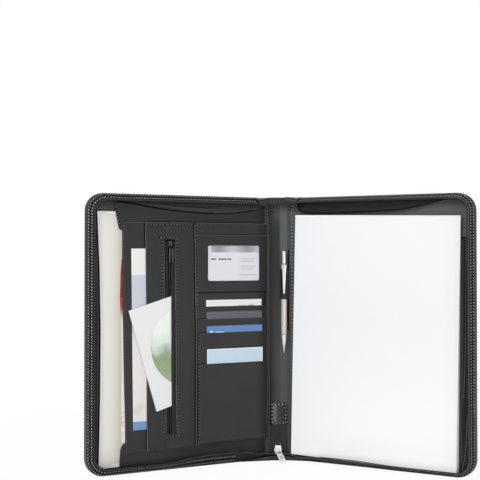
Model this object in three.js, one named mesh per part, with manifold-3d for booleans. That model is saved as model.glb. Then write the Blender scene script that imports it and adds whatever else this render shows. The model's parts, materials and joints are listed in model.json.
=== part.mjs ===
// A zip-around personal organizer for A4 paper, standing open on its lower edge like a book.
// Millimetres, +Z up. X runs along the open book, the reader stands on the -Y side.
// The origin is the middle of the spine's foot, on the surface that the organizer stands on.
//
// Each cover has its own flat frame: u runs outwards from its hinge, v up, and w out of the
// lining towards the reader. Outlines are drawn in u and v and raised between two w levels.

import * as THREE from "three";
import { mergeVertices } from "three/addons/utils/BufferGeometryUtils.js";
import Module from "manifold-3d";

const wasm = await Module();
wasm.setup();

// Driving sizes
const COVER_WIDTH = 235;
const COVER_HEIGHT = 327;
const CORNER_RADIUS = 21;
const SPINE_WIDTH = 32;
const OPEN_ANGLE = THREE.MathUtils.degToRad(28);
const GAP = 0.3;
const HINGE_CLEARANCE = 1.5;
const ARC_STEPS = 8;

// Shell layers, as w levels behind the lining's face
const LINING = [-0.8, 0];
const BOARD = [-3.1, -1.1];
const SKIN = [-4.6, -3.4];
const PADDED_SKIN = [-5.2, -3.4];

// Rim: a turned edge band, a zip tape leaning inwards, and the teeth along its free edge
const BAND_THICKNESS = 1.9;
const BAND_TOP = 4;
const TEETH = { inner: 6, outer: 3.4, low: 12.5, high: 14.8 };
const TAPE = { foot: 0.6, head: 4, thickness: 0.8, low: 4.3, high: 12.2 };
const RIM_START_TOP = 14;
const RIM_START_BOTTOM = 46;

// Paper sizes
const A4 = { width: 210, height: 297 };
const CARD = { width: 76, height: 50 };
const ID_CARD = { width: 85.6, height: 54 };
const SLEEVE_SIDE = 125;
const SLEEVE_WINDOW_RADIUS = 50;
const DISC_RADIUS = 60;

// Finishes
const finish = (color, roughness, metalness = 0) =>
  new THREE.MeshStandardMaterial({ color, roughness, metalness });
const LEATHERETTE = finish(0x38383a, 0.55);
const PADDED_CLOTH = finish(0x47454c, 0.9);
const LINING_CLOTH = finish(0x555a58, 0.8);
const GUSSET_CLOTH = finish(0x242526, 0.85);
const GREYBOARD = finish(0x8b857b, 0.9);
const ZIP_TAPE = finish(0x1d1d1e, 0.9);
const ZIP_TEETH = finish(0x2c2c2e, 0.4);
const SILVER = finish(0xdcdcdc, 0.25, 1);
const DARK_METAL = finish(0x2a2a2c, 0.3, 1);
const PEARL = finish(0xc9c4bf, 0.35, 0.8);
const WHITE_PAPER = finish(0xf1f2f1, 0.9);
const CREAM_PAPER = finish(0xe1e0da, 0.9);
const LILAC_PAPER = finish(0xcdd0de, 0.7);
const RED_PAPER = finish(0xa03714, 0.7);
const SLEEVE_PAPER = finish(0xe4e2e4, 0.85);
const DISC_PLASTIC = finish(0xb9d8b4, 0.3);
const CLEAR_FILM = finish(0xdfe3e6, 0.1);
const CARD_COLOURS = [0xf0f0f0, 0x686678, 0x5f8fcd, 0xc5d7e6].map((c) => finish(c, 0.5));
const ID_PAPER = finish(0xe4e3e8, 0.7);

// The three frames: the spine's is the object's own frame, and each cover's local axes are
// X along u (reversed on the front cover), Y along v and Z along w.
const organizer = new THREE.Group();
const FRONT = -1;
const BACK = 1;

function coverFrame(side) {
  const hinge = new THREE.Group();
  hinge.position.x = (side * SPINE_WIDTH) / 2;
  hinge.rotation.z = -side * OPEN_ANGLE;
  const plane = new THREE.Group();
  plane.rotation.x = Math.PI / 2;
  hinge.add(plane);
  organizer.add(hinge);
  return plane;
}

const frames = { [FRONT]: coverFrame(FRONT), [BACK]: coverFrame(BACK) };

function addTo(group, name, geometry, material) {
  const mesh = new THREE.Mesh(geometry, material);
  mesh.name = name;
  group.add(mesh);
  return mesh;
}

const point = (x, y) => new THREE.Vector2(x, y);
const points = (pairs) => pairs.map(([x, y]) => point(x, y));

function raised(outline, low, high, holes = []) {
  const clockwise = THREE.ShapeUtils.isClockWise(outline);
  const shape = new THREE.Shape(clockwise ? [...outline].reverse() : outline);
  shape.holes = holes.map((hole) => new THREE.Path(hole));
  const geometry = new THREE.ExtrudeGeometry(shape, { depth: high - low, bevelEnabled: false });
  return geometry.translate(0, 0, low);
}

// A flat layer of a cover: its outline in u and v, and its two w levels
function layer(side, name, outline, [low, high], material, holes = []) {
  const toLocal = (list) => list.map((p) => point(side * p.x, p.y));
  const geometry = raised(toLocal(outline), low, high, holes.map(toLocal));
  return addTo(frames[side], name, geometry, material);
}

function rectangle(uLow, vLow, uHigh, vHigh) {
  return points([[uLow, vLow], [uHigh, vLow], [uHigh, vHigh], [uLow, vHigh]]);
}

function roundedRectangle(uLow, vLow, uHigh, vHigh, radius) {
  const shape = new THREE.Shape();
  shape.absarc(uHigh - radius, vLow + radius, radius, -Math.PI / 2, 0);
  shape.absarc(uHigh - radius, vHigh - radius, radius, 0, Math.PI / 2);
  shape.absarc(uLow + radius, vHigh - radius, radius, Math.PI / 2, Math.PI);
  shape.absarc(uLow + radius, vLow + radius, radius, Math.PI, 1.5 * Math.PI);
  return shape.extractPoints(4).shape;
}

// A cover's outline: square at the hinge, round at the two outer corners
function coverOutline(inset, uStart) {
  const radius = CORNER_RADIUS - inset;
  const shape = new THREE.Shape();
  shape.moveTo(uStart, inset);
  shape.absarc(COVER_WIDTH - CORNER_RADIUS, CORNER_RADIUS, radius, -Math.PI / 2, 0);
  shape.absarc(
    COVER_WIDTH - CORNER_RADIUS, COVER_HEIGHT - CORNER_RADIUS, radius, 0, Math.PI / 2,
  );
  shape.lineTo(uStart, COVER_HEIGHT - inset);
  return shape.extractPoints(ARC_STEPS).shape;
}

// The arc through three points, as a list of points
function arcThrough(a, b, c, steps = 12) {
  const d = 2 * (a.x * (b.y - c.y) + b.x * (c.y - a.y) + c.x * (a.y - b.y));
  const sum = (p, q, r) => p.lengthSq() * q + r;
  const x = sum(a, b.y - c.y, sum(b, c.y - a.y, sum(c, a.y - b.y, 0))) / d;
  const y = sum(a, c.x - b.x, sum(b, a.x - c.x, sum(c, b.x - a.x, 0))) / d;
  const centre = point(x, y);
  const from = a.clone().sub(centre);
  const turn = Math.atan2(from.cross(c.clone().sub(centre)), from.dot(c.clone().sub(centre)));
  return Array.from({ length: steps + 1 }, (_, i) =>
    a.clone().rotateAround(centre, (turn * i) / steps),
  );
}

// Stations along a cover's three free edges, each with its inward direction
function rimStations(uBottom, uTop) {
  const right = COVER_WIDTH - CORNER_RADIUS;
  const stations = [{ at: point(uBottom, 0), inward: point(0, 1) }];
  for (const [vCentre, start] of [[CORNER_RADIUS, -90], [COVER_HEIGHT - CORNER_RADIUS, 0]]) {
    for (let i = 0; i <= ARC_STEPS; i += 1) {
      const angle = THREE.MathUtils.degToRad(start + (90 * i) / ARC_STEPS);
      const outward = point(Math.cos(angle), Math.sin(angle));
      const at = point(right, vCentre).addScaledVector(outward, CORNER_RADIUS);
      stations.push({ at, inward: outward.negate() });
    }
  }
  stations.push({ at: point(uTop, COVER_HEIGHT), inward: point(0, -1) });
  return stations;
}

// A convex section, in inset and w, carried along the rim as one closed body
function rim(side, name, section, uBottom, uTop, material) {
  const stations = rimStations(uBottom, uTop);
  const count = section.length;
  const positions = [];
  for (const { at, inward } of stations) {
    for (const [inset, w] of section) {
      const p = at.clone().addScaledVector(inward, inset);
      positions.push(side * p.x, p.y, w);
    }
  }
  const triangles = [];
  for (let s = 0; s < stations.length - 1; s += 1) {
    for (let k = 0; k < count; k += 1) {
      const a = s * count + k;
      const b = s * count + ((k + 1) % count);
      triangles.push([a, b, b + count], [a, b + count, a + count]);
    }
  }
  const last = (stations.length - 1) * count;
  for (let k = 1; k < count - 1; k += 1) {
    triangles.push([0, k + 1, k], [last, last + k, last + k + 1]);
  }
  // On the front cover u is mirrored, which turns the faces round
  const index = triangles.flatMap((t) => (side === FRONT ? [t[0], t[2], t[1]] : t));
  const geometry = new THREE.BufferGeometry();
  geometry.setAttribute("position", new THREE.Float32BufferAttribute(positions, 3));
  geometry.setIndex(index);
  return addTo(frames[side], name, geometry, material);
}

// Solids that are joined or cut
function solidOf(geometry) {
  const bare = geometry.index ? geometry.clone() : geometry;
  bare.deleteAttribute("normal");
  bare.deleteAttribute("uv");
  const merged = mergeVertices(bare, 1e-4);
  return new wasm.Manifold(new wasm.Mesh({
    numProp: 3,
    vertProperties: new Float32Array(merged.attributes.position.array),
    triVerts: new Uint32Array(merged.index.array),
  }));
}

function geometryOf(solid) {
  const mesh = solid.getMesh();
  const geometry = new THREE.BufferGeometry();
  geometry.setAttribute("position", new THREE.BufferAttribute(mesh.vertProperties, 3));
  geometry.setIndex(new THREE.BufferAttribute(mesh.triVerts, 1));
  return geometry;
}

// A box between two corners
function block([x0, y0, z0], [x1, y1, z1]) {
  const geometry = new THREE.BoxGeometry(x1 - x0, y1 - y0, z1 - z0);
  return geometry.translate((x0 + x1) / 2, (y0 + y1) / 2, (z0 + z1) / 2);
}

const joined = (...geometries) =>
  geometryOf(geometries.map(solidOf).reduce((whole, piece) => whole.add(piece)));

// A section in X and Y, raised between two heights
const upright = (outline, zLow, zHigh) => raised(outline, zLow, zHigh);

// An outline in X and Z, seen from the reader, with its near and far Y
function facing(outline, yFar, yNear) {
  const geometry = raised(outline, 0, yFar - yNear);
  return geometry.rotateX(Math.PI / 2).translate(0, yFar, 0);
}

// A section in Y and Z, carried across the spine between two X
function across(outline, xLow, xHigh) {
  const geometry = raised(outline, xLow, xHigh);
  return geometry.applyMatrix4(new THREE.Matrix4().makeBasis(
    new THREE.Vector3(0, 1, 0), new THREE.Vector3(0, 0, 1), new THREE.Vector3(1, 0, 0),
  ));
}

// A turned piece about an upright axis, from its radius and height pairs
function turned(profile, x, y, sides = 24) {
  const geometry = new THREE.LatheGeometry(points(profile), sides);
  return geometry.rotateX(Math.PI / 2).translate(x, y, 0);
}

// Spine
const SPINE_LAYERS = { lining: [0, 0.8], board: [1.1, 2.3], skin: [3.4, 4.6] };
const FOOT_THICKNESS = 1.2;
const END_BAND = 9.6;
const SPINE_INSIDE = [FOOT_THICKNESS + GAP, COVER_HEIGHT - FOOT_THICKNESS - GAP];

function spineLayer(name, halfWidth, [yLow, yHigh], [zLow, zHigh], material) {
  const geometry = block([-halfWidth, yLow, zLow], [halfWidth, yHigh, zHigh]);
  return addTo(organizer, name, geometry, material);
}

function addSpine() {
  spineLayer("spine_lining", 15.4, SPINE_LAYERS.lining, SPINE_INSIDE, LINING_CLOTH);
  spineLayer("spine_board", 15, SPINE_LAYERS.board, SPINE_INSIDE, GREYBOARD);
  spineLayer("spine_skin", 16.8, SPINE_LAYERS.skin, [0, COVER_HEIGHT], LEATHERETTE);

  // The rim's cloth runs across both ends of the spine as a ledge with a turned lip
  const ledge = { back: SPINE_LAYERS.skin[0] - GAP, front: -12, lip: -10.8 };
  const footLip = 5.4;
  const footSection = points([
    [ledge.back, 0], [ledge.back, FOOT_THICKNESS], [ledge.lip, FOOT_THICKNESS],
    [ledge.lip, footLip], [ledge.front, footLip], [ledge.front, 0],
  ]);
  addTo(organizer, "spine_foot_band", across(footSection, -END_BAND, END_BAND), GUSSET_CLOTH);
  const top = COVER_HEIGHT;
  const topLip = top - 9.2;
  const topSection = points([
    [ledge.back, top], [ledge.back, top - FOOT_THICKNESS], [ledge.lip, top - FOOT_THICKNESS],
    [ledge.lip, topLip], [ledge.front, topLip], [ledge.front, top],
  ]);
  addTo(organizer, "spine_top_band", across(topSection, -END_BAND, END_BAND), GUSSET_CLOTH);
}

// The zip's tail: its closed chain comes out from under a stitched patch, down to the slider
const TAIL = { halfWidth: 6.5, far: -0.6, near: -1.5, low: 18, high: 62 };
const CHAIN = { halfWidth: 2.2, near: -3 };
const PATCH = { left: -9.1, right: 11.9, low: 43, high: 70, far: -GAP, near: -3, wall: 1.2 };

function addZipTail() {
  const section = points([
    [-TAIL.halfWidth, TAIL.far], [-TAIL.halfWidth, TAIL.near], [-CHAIN.halfWidth, TAIL.near],
    [-CHAIN.halfWidth, CHAIN.near], [CHAIN.halfWidth, CHAIN.near], [CHAIN.halfWidth, TAIL.near],
    [TAIL.halfWidth, TAIL.near], [TAIL.halfWidth, TAIL.far],
  ]);
  const belowPatch = PATCH.low - GAP;
  addTo(organizer, "zip_tail", upright(section, TAIL.low, belowPatch), ZIP_TAPE);
  const inner = { side: TAIL.halfWidth + GAP, near: PATCH.near + PATCH.wall };
  const channel = points([
    [PATCH.left, PATCH.far], [PATCH.left, PATCH.near], [PATCH.right, PATCH.near],
    [PATCH.right, PATCH.far], [inner.side, PATCH.far], [inner.side, inner.near],
    [-inner.side, inner.near], [-inner.side, PATCH.far],
  ]);
  addTo(organizer, "zip_end_patch", upright(channel, PATCH.low, PATCH.high), LEATHERETTE);
}

// Main slider: a waisted front plate with two rails that run beside the chain, and a bridge
const SLIDER = { low: 7, high: 17.3, plate: [-3.3, -4.5], rail: 2.7, railFar: -1.8 };
const BRIDGE = { halfWidth: 0.9, low: 7.8, high: 14.2, bar: 1.1, near: -8.3 };
const PULL_PIVOT = new THREE.Vector3(0, -6, 10.6);
const PULL = { length: 27, halfWidth: 3.9, thickness: 1.2, eye: 5.6, eyeHalf: 2.4, bar: 0.6 };
const PULL_TURN = THREE.MathUtils.degToRad(15);
const PULL_DROP = THREE.MathUtils.degToRad(20.5);

function addMainSlider() {
  const plate = points([
    [-3.3, SLIDER.low], [3.3, SLIDER.low], [4.7, 12], [3.7, 15], [3.7, SLIDER.high],
    [-3.7, SLIDER.high], [-3.7, 15], [-4.7, 12],
  ]);
  const [far, near] = SLIDER.plate;
  const rail = (x0, x1) => block([x0, near, SLIDER.low + 1], [x1, SLIDER.railFar, SLIDER.high]);
  const leg = (z) => block([-BRIDGE.halfWidth, BRIDGE.near, z],
    [BRIDGE.halfWidth, far, z + BRIDGE.bar]);
  const bar = block([-BRIDGE.halfWidth, BRIDGE.near, BRIDGE.low],
    [BRIDGE.halfWidth, BRIDGE.near + BRIDGE.bar, BRIDGE.high]);
  const body = joined(
    facing(plate, far, near), rail(-3.6, -SLIDER.rail), rail(SLIDER.rail, 3.6),
    leg(BRIDGE.low), leg(BRIDGE.high - BRIDGE.bar), bar,
  );
  addTo(organizer, "main_slider", body, SILVER);

  // The pull's eye goes round the bridge's bar, and its tab lies forward on the surface
  const tab = new THREE.Shape(points([
    [-PULL.halfWidth + 0.9, PULL.bar], [-PULL.halfWidth, -2], [-PULL.halfWidth, -PULL.length + 2],
    [-PULL.halfWidth + 2, -PULL.length], [PULL.halfWidth - 2, -PULL.length],
    [PULL.halfWidth, -PULL.length + 2], [PULL.halfWidth, -2], [PULL.halfWidth - 0.9, PULL.bar],
  ]));
  tab.holes = [new THREE.Path(rectangle(-PULL.eyeHalf, -PULL.eye, PULL.eyeHalf, -PULL.bar))];
  const geometry = new THREE.ExtrudeGeometry(tab, { depth: PULL.thickness, bevelEnabled: false });
  geometry.translate(0, 0, -PULL.thickness / 2);
  geometry.rotateX(PULL_DROP);
  geometry.rotateZ(PULL_TURN);
  geometry.translate(...PULL_PIVOT);
  addTo(organizer, "main_pull", geometry, SILVER);
}

// Pen in its loop
const PEN = { x: 7.6, y: -4.3, radius: 3.45 };
const LOOP = { bore: 3.55, wall: 0.5, flange: 6.2, low: 200, high: 238 };

function addPen() {
  addTo(organizer, "pen_barrel", turned([
    [0, 156], [3.3, 156], [PEN.radius, 160], [PEN.radius, 239], [3.1, 243.5], [2.75, 243.5],
    [2.75, 236], [0, 236],
  ], PEN.x, PEN.y), PEARL);
  addTo(organizer, "pen_tip", turned([
    [0, 133], [0.5, 133.2], [1.5, 142.5], [2, 143.5], [3.2, 155.7], [0, 155.7],
  ], PEN.x, PEN.y), SILVER);
  addTo(organizer, "pen_button", turned([
    [0, 239.8], [2.5, 239.8], [2.5, 247], [2.25, 259.3], [1.9, 260], [0, 260],
  ], PEN.x, PEN.y), SILVER);

  // A sprung clip: wide at the ring, narrow at its tip, in front of the loop
  const back = PEN.y - LOOP.bore - LOOP.wall - 0.15;
  const side = across(points([
    [back + 0.55, 242.2], [back - 0.9, 242.2], [back - 0.9, 207], [back, 207],
    [back, 238.5], [back + 0.55, 238.5],
  ]), -3, 3);
  const taper = facing(points([[-0.9, 206], [0.9, 206], [2.6, 243], [-2.6, 243]]), 0, -20);
  const clip = geometryOf(solidOf(side).intersect(solidOf(taper)));
  addTo(organizer, "pen_clip", clip.translate(PEN.x, 0, 0), SILVER);

  const outer = LOOP.bore + LOOP.wall;
  const seat = -PEN.y - GAP;
  const arc = (radius, from, to) => Array.from({ length: 13 }, (_, i) => {
    const angle = from + ((to - from) * i) / 12;
    return point(radius * Math.cos(angle), radius * Math.sin(angle));
  });
  const omega = [
    ...points([[-LOOP.flange, seat], [-LOOP.flange, seat - LOOP.wall], [-outer, seat - LOOP.wall]]),
    ...arc(outer, -Math.PI, 0),
    ...points([[outer, seat - LOOP.wall], [LOOP.flange, seat - LOOP.wall], [LOOP.flange, seat]]),
    point(LOOP.bore, seat),
    ...arc(LOOP.bore, 0, -Math.PI),
    point(-LOOP.bore, seat),
  ];
  const loop = upright(omega, LOOP.low, LOOP.high).translate(PEN.x, PEN.y, 0);
  addTo(organizer, "pen_loop", loop, LEATHERETTE);
}

// A cover's board, lining and rim, alike on both covers
function addShell(side, prefix) {
  const inside = BAND_THICKNESS + GAP;
  layer(side, `${prefix}_board`, coverOutline(inside, HINGE_CLEARANCE + 1), BOARD, GREYBOARD);
  layer(side, `${prefix}_lining`, coverOutline(inside, HINGE_CLEARANCE), LINING, LINING_CLOTH);
  const bandSection = [
    [0, BOARD[0]], [BAND_THICKNESS, BOARD[0]], [BAND_THICKNESS, BAND_TOP], [0, BAND_TOP],
  ];
  rim(side, `${prefix}_edge_band`, bandSection, HINGE_CLEARANCE, HINGE_CLEARANCE, LEATHERETTE);
  const tapeSection = [
    [TAPE.foot, TAPE.low], [TAPE.foot + TAPE.thickness, TAPE.low],
    [TAPE.head + TAPE.thickness, TAPE.high], [TAPE.head, TAPE.high],
  ];
  rim(side, `${prefix}_zip_tape`, tapeSection, RIM_START_BOTTOM, RIM_START_TOP, ZIP_TAPE);
  const teethSection = [
    [TEETH.outer, TEETH.low], [TEETH.inner, TEETH.low],
    [TEETH.inner, TEETH.high], [TEETH.outer, TEETH.high],
  ];
  rim(side, `${prefix}_zip_teeth`, teethSection, RIM_START_BOTTOM, RIM_START_TOP, ZIP_TEETH);
}

// The front cover's outside: a padded cloth panel between two arched leatherette panels
const HINGE_ARC = points([[16.4, 0], [31.2, 170], [19.3, COVER_HEIGHT]]);
const EDGE_ARC = points([[140, 0], [180.4, 177], [151.3, COVER_HEIGHT]]);

function addFrontSkin() {
  const hingeArc = arcThrough(...HINGE_ARC);
  const edgeArc = arcThrough(...EDGE_ARC);
  const shifted = (arc, by) => arc.map((p) => point(p.x + by, p.y));
  const half = GAP / 2;
  layer(FRONT, "front_skin_hinge_panel", [
    point(HINGE_CLEARANCE, 0), ...shifted(hingeArc, -half), point(HINGE_CLEARANCE, COVER_HEIGHT),
  ], SKIN, LEATHERETTE);
  layer(FRONT, "front_skin_cloth_panel", [
    ...shifted(hingeArc, half), ...shifted(edgeArc, -half).reverse(),
  ], PADDED_SKIN, PADDED_CLOTH);
  const outer = coverOutline(0, 150).slice(1, -1);
  layer(FRONT, "front_skin_edge_panel", [
    ...outer, ...shifted(edgeArc, half).reverse(),
  ], SKIN, LEATHERETTE);
}

// Front cover's inside, as w levels above the lining
const LEVELS = {
  documents: [0.3, 0.8],
  leaflet: [0.95, 1.2],
  pocketPanel: [1.4, 2],
  organizerPanel: [2.2, 2.7],
  brochure: [2.9, 3.2],
  zipPocketLeft: [3.4, 3.9],
  sleeve: [4.1, 5.6],
  disc: [4.55, 5.15],
  zipPocketRight: [5.8, 6.3],
  cardPanel: [6.5, 7],
  idCard: [7.2, 7.5],
  film: [7.7, 7.9],
  idFrame: [8.1, 8.6],
};
const POCKET_TOP = 294.1;
const INNER_EDGE = 3.2;
const ZIP_WINDOW = { top: 273, bottom: 42.7, left: [139.2, 135.2], right: [125.8, 123.4] };
const ZIP_LINE = [131.3, 130];

function addDocuments() {
  layer(FRONT, "document_sheaf", points([
    [11.5, 9], [219.7, 8.3], [218.6, 90], [218.4, 168], [219.6, 240], [221.8, 306], [11.5, 306],
  ]), LEVELS.documents, CREAM_PAPER);
  layer(FRONT, "printed_leaflet", points([
    [44, 36], [191.2, 36], [192.4, 80], [191.6, 150], [193.4, 205], [193, 235], [191.6, 250],
    [44, 250],
  ]), LEVELS.leaflet, RED_PAPER);
}

function addPocketPanels() {
  // The document pocket: free left edge with two notched flaps, and a sagging mouth
  const mouth = arcThrough(point(HINGE_CLEARANCE, 315), point(80, 308.4), point(201.5, 317), 10);
  layer(FRONT, "pocket_panel", [
    ...points([[HINGE_CLEARANCE, 5], [194.4, 7], [192.6, 29.4], [190.3, 33.2], [190.3, 284.3],
      [194.6, 288.9]]),
    ...mouth.reverse(),
  ], LEVELS.pocketPanel, LEATHERETTE);
  layer(FRONT, "front_gusset_fold", points([
    [HINGE_CLEARANCE, 324], [HINGE_CLEARANCE, 317.5], [80, 312], [203, 320], [203, 324],
  ]), LEVELS.leaflet, GUSSET_CLOTH);
  layer(FRONT, "organizer_panel", points([
    [INNER_EDGE, 28.2], [100, 25], [185.4, 21.7], [188.8, 36], [189.6, 100], [190, 293.2],
    [INNER_EDGE, POCKET_TOP],
  ]), LEVELS.organizerPanel, LEATHERETTE);
  layer(FRONT, "brochure", points([
    [32, 50.2], [177.7, 49.7], [180.4, 262.6], [34, 262.9],
  ]), LEVELS.brochure, LILAC_PAPER);
}

// The zipped pocket is open: its zip parts the panel into a left and a right leaf
function addZipPocket() {
  const { top, bottom, left, right } = ZIP_WINDOW;
  const [lineTop, lineBottom] = ZIP_LINE;
  const slit = GAP / 2;
  layer(FRONT, "zip_pocket_left", points([
    [lineTop + slit, POCKET_TOP], [162.8, POCKET_TOP], [161.1, 166.6], [160.3, 23.4],
    [lineBottom + slit, 24.2], [lineBottom + slit, bottom], [left[1], bottom], [left[0], top],
    [lineTop + slit, top],
  ]), LEVELS.zipPocketLeft, LEATHERETTE);
  layer(FRONT, "zip_pocket_right", points([
    [lineTop - slit, POCKET_TOP], [lineTop - slit, top], [right[0], top], [right[1], bottom],
    [lineBottom - slit, bottom], [lineBottom - slit, 24.2], [INNER_EDGE, 28.4],
    [INNER_EDGE, POCKET_TOP],
  ]), LEVELS.zipPocketRight, LEATHERETTE);
  const inset = GAP;
  layer(FRONT, "pocket_zip_left", points([
    [lineTop + slit, top - inset], [left[0] - inset, top - inset],
    [left[1] - inset, bottom + inset], [lineBottom + slit, bottom + inset],
  ]), LEVELS.zipPocketLeft, ZIP_TAPE);
  layer(FRONT, "pocket_zip_right", points([
    [lineTop - slit, top - inset], [right[0] + inset, top - inset],
    [right[1] + inset, bottom + inset], [lineBottom - slit, bottom + inset],
  ]), LEVELS.zipPocketRight, ZIP_TAPE);
}

// The pocket zip's slider and pull, in the cover's frame
const POCKET_SLIDER = { u: 131.4, low: 262, high: 271, base: 6.5, top: 7.7, halfWidth: 3 };
const POCKET_PULL = { low: 244.4, high: 264.6, base: 8, top: 8.8, halfWidth: 1.7 };

function addPocketSlider() {
  const x = FRONT * POCKET_SLIDER.u;
  const { low, high, base, top, halfWidth } = POCKET_SLIDER;
  const body = raised(points([
    [x - 2, low], [x + 2, low], [x + halfWidth, low + 4], [x + 2.4, high], [x - 2.4, high],
    [x - halfWidth, low + 4],
  ]), base, top);
  const crown = { half: 0.6, top: 9.6, bar: 0.5 };
  const post = (v0, v1, w0, w1) => block([x - crown.half, v0, w0], [x + crown.half, v1, w1]);
  const bridge = [
    post(POCKET_PULL.high - 3.2, POCKET_PULL.high - 2.5, base, crown.top),
    post(POCKET_PULL.high + 1.4, POCKET_PULL.high + 2.1, base, crown.top),
    post(POCKET_PULL.high - 3.2, POCKET_PULL.high + 2.1, crown.top - crown.bar, crown.top),
  ];
  addTo(frames[FRONT], "pocket_slider", joined(body, ...bridge), DARK_METAL);
  const pull = POCKET_PULL;
  const tab = points([
    [x - pull.halfWidth, pull.high], [x - pull.halfWidth, pull.low + 1.5], [x - 0.8, pull.low],
    [x + 0.8, pull.low], [x + pull.halfWidth, pull.low + 1.5], [x + pull.halfWidth, pull.high],
  ]);
  const eye = rectangle(x - 0.95, pull.high - 4, x + 0.95, pull.high - 0.8);
  addTo(frames[FRONT], "pocket_pull", raised(tab, pull.base, pull.top, [eye]), DARK_METAL);
}

// A disc in a square paper sleeve that leans through the open zip
const SLEEVE = { corner: point(184.4, 189.8), lean: THREE.MathUtils.degToRad(16.5) };

function addDiscSleeve() {
  const across = point(-Math.cos(SLEEVE.lean), Math.sin(SLEEVE.lean));
  const down = point(-Math.sin(SLEEVE.lean), -Math.cos(SLEEVE.lean));
  const at = (a, d) => {
    const p = SLEEVE.corner.clone().addScaledVector(across, a).addScaledVector(down, d);
    return point(FRONT * p.x, p.y);
  };
  const square = (a0, d0, a1, d1) => [at(a0, d0), at(a1, d0), at(a1, d1), at(a0, d1)];
  const centre = at(SLEEVE_SIDE / 2, SLEEVE_SIDE / 2);
  const circle = (radius, sides) => Array.from({ length: sides }, (_, i) => {
    const angle = (2 * Math.PI * i) / sides;
    return point(centre.x + radius * Math.cos(angle), centre.y + radius * Math.sin(angle));
  });
  const [low, high] = LEVELS.sleeve;
  const [discLow, discHigh] = LEVELS.disc;
  const paper = discLow - low - 0.15;
  const outside = solidOf(raised(square(0, 0, SLEEVE_SIDE, SLEEVE_SIDE), low, high));
  const pocket = solidOf(raised(
    square(1.5, 1.5, SLEEVE_SIDE + 5, SLEEVE_SIDE - 1.5), low + paper, high - paper,
  ));
  const window = solidOf(raised(circle(SLEEVE_WINDOW_RADIUS, 48), high - 2 * paper, high + 1));
  const sleeve = geometryOf(outside.subtract(pocket).subtract(window));
  addTo(frames[FRONT], "disc_sleeve", sleeve, SLEEVE_PAPER);
  addTo(frames[FRONT], "disc", raised(circle(DISC_RADIUS, 48), discLow, discHigh), DISC_PLASTIC);
}

// Cards: a window for an identity card above four stepped slots
const WINDOW = { left: 83.4, right: 12.9, low: 223.6, high: 266.7, radius: 2.5 };
const SLOT_MOUTHS = [192.4, 177.4, 160.7, 123.3];
const SLOT_BOTTOMS = [118, 103, 86, 28.6];
const CARD_TOPS = [200.5, 186.2, 169, 141.1];
const SLOT_PITCH = 1;
const CARD_CENTRE = 47.3;

function addCards() {
  layer(FRONT, "card_panel", points([
    [INNER_EDGE, 28.6], [98.1, 25], [96.9, 176.7], [100.4, POCKET_TOP], [INNER_EDGE, POCKET_TOP],
  ]), LEVELS.cardPanel, LEATHERETTE);
  const middle = (WINDOW.left + WINDOW.right) / 2;
  const idLow = (WINDOW.low + WINDOW.high - ID_CARD.height) / 2;
  layer(FRONT, "id_card", rectangle(
    middle - ID_CARD.width / 2, idLow, middle + ID_CARD.width / 2, idLow + ID_CARD.height,
  ), LEVELS.idCard, ID_PAPER);
  layer(FRONT, "id_window_film", rectangle(
    WINDOW.right - 3, WINDOW.low - 3, WINDOW.left + 3, WINDOW.high + 3,
  ), LEVELS.film, CLEAR_FILM);
  layer(FRONT, "id_window_frame", points([
    [INNER_EDGE, 209.8], [96.6, 209.8], [98.9, POCKET_TOP], [INNER_EDGE, POCKET_TOP],
  ]), LEVELS.idFrame, LEATHERETTE, [
    roundedRectangle(WINDOW.right, WINDOW.low, WINDOW.left, WINDOW.high, WINDOW.radius),
  ]);
  for (let n = 0; n < SLOT_MOUTHS.length; n += 1) {
    const cardBase = LEVELS.cardPanel[1] + 0.15 + n * SLOT_PITCH;
    const flapBase = cardBase + 0.45;
    const top = CARD_TOPS[n];
    layer(FRONT, `card_${n + 1}`, rectangle(
      CARD_CENTRE - CARD.width / 2, top - CARD.height, CARD_CENTRE + CARD.width / 2, top,
    ), [cardBase, cardBase + 0.3], CARD_COLOURS[n]);
    layer(FRONT, `card_slot_${n + 1}`, rectangle(
      INNER_EDGE, SLOT_BOTTOMS[n], 96.4, SLOT_MOUTHS[n],
    ), [flapBase, flapBase + 0.4], LEATHERETTE);
  }
}

// Back cover's inside: a writing pad, its board slipped behind a panel
const PAD = { u: 6, v: 5, turn: THREE.MathUtils.degToRad(1.2), fan: 2 };
const PAD_LEVELS = { backing: [0.3, 0.9], panel: [1.1, 1.6], sheets: [1.8, 5], fold: [5.3, 5.8] };

function padPoint(a, b) {
  const centre = point(PAD.u + A4.width / 2, PAD.v + A4.height / 2);
  return point(PAD.u + a, PAD.v + b).rotateAround(centre, -PAD.turn);
}

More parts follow.
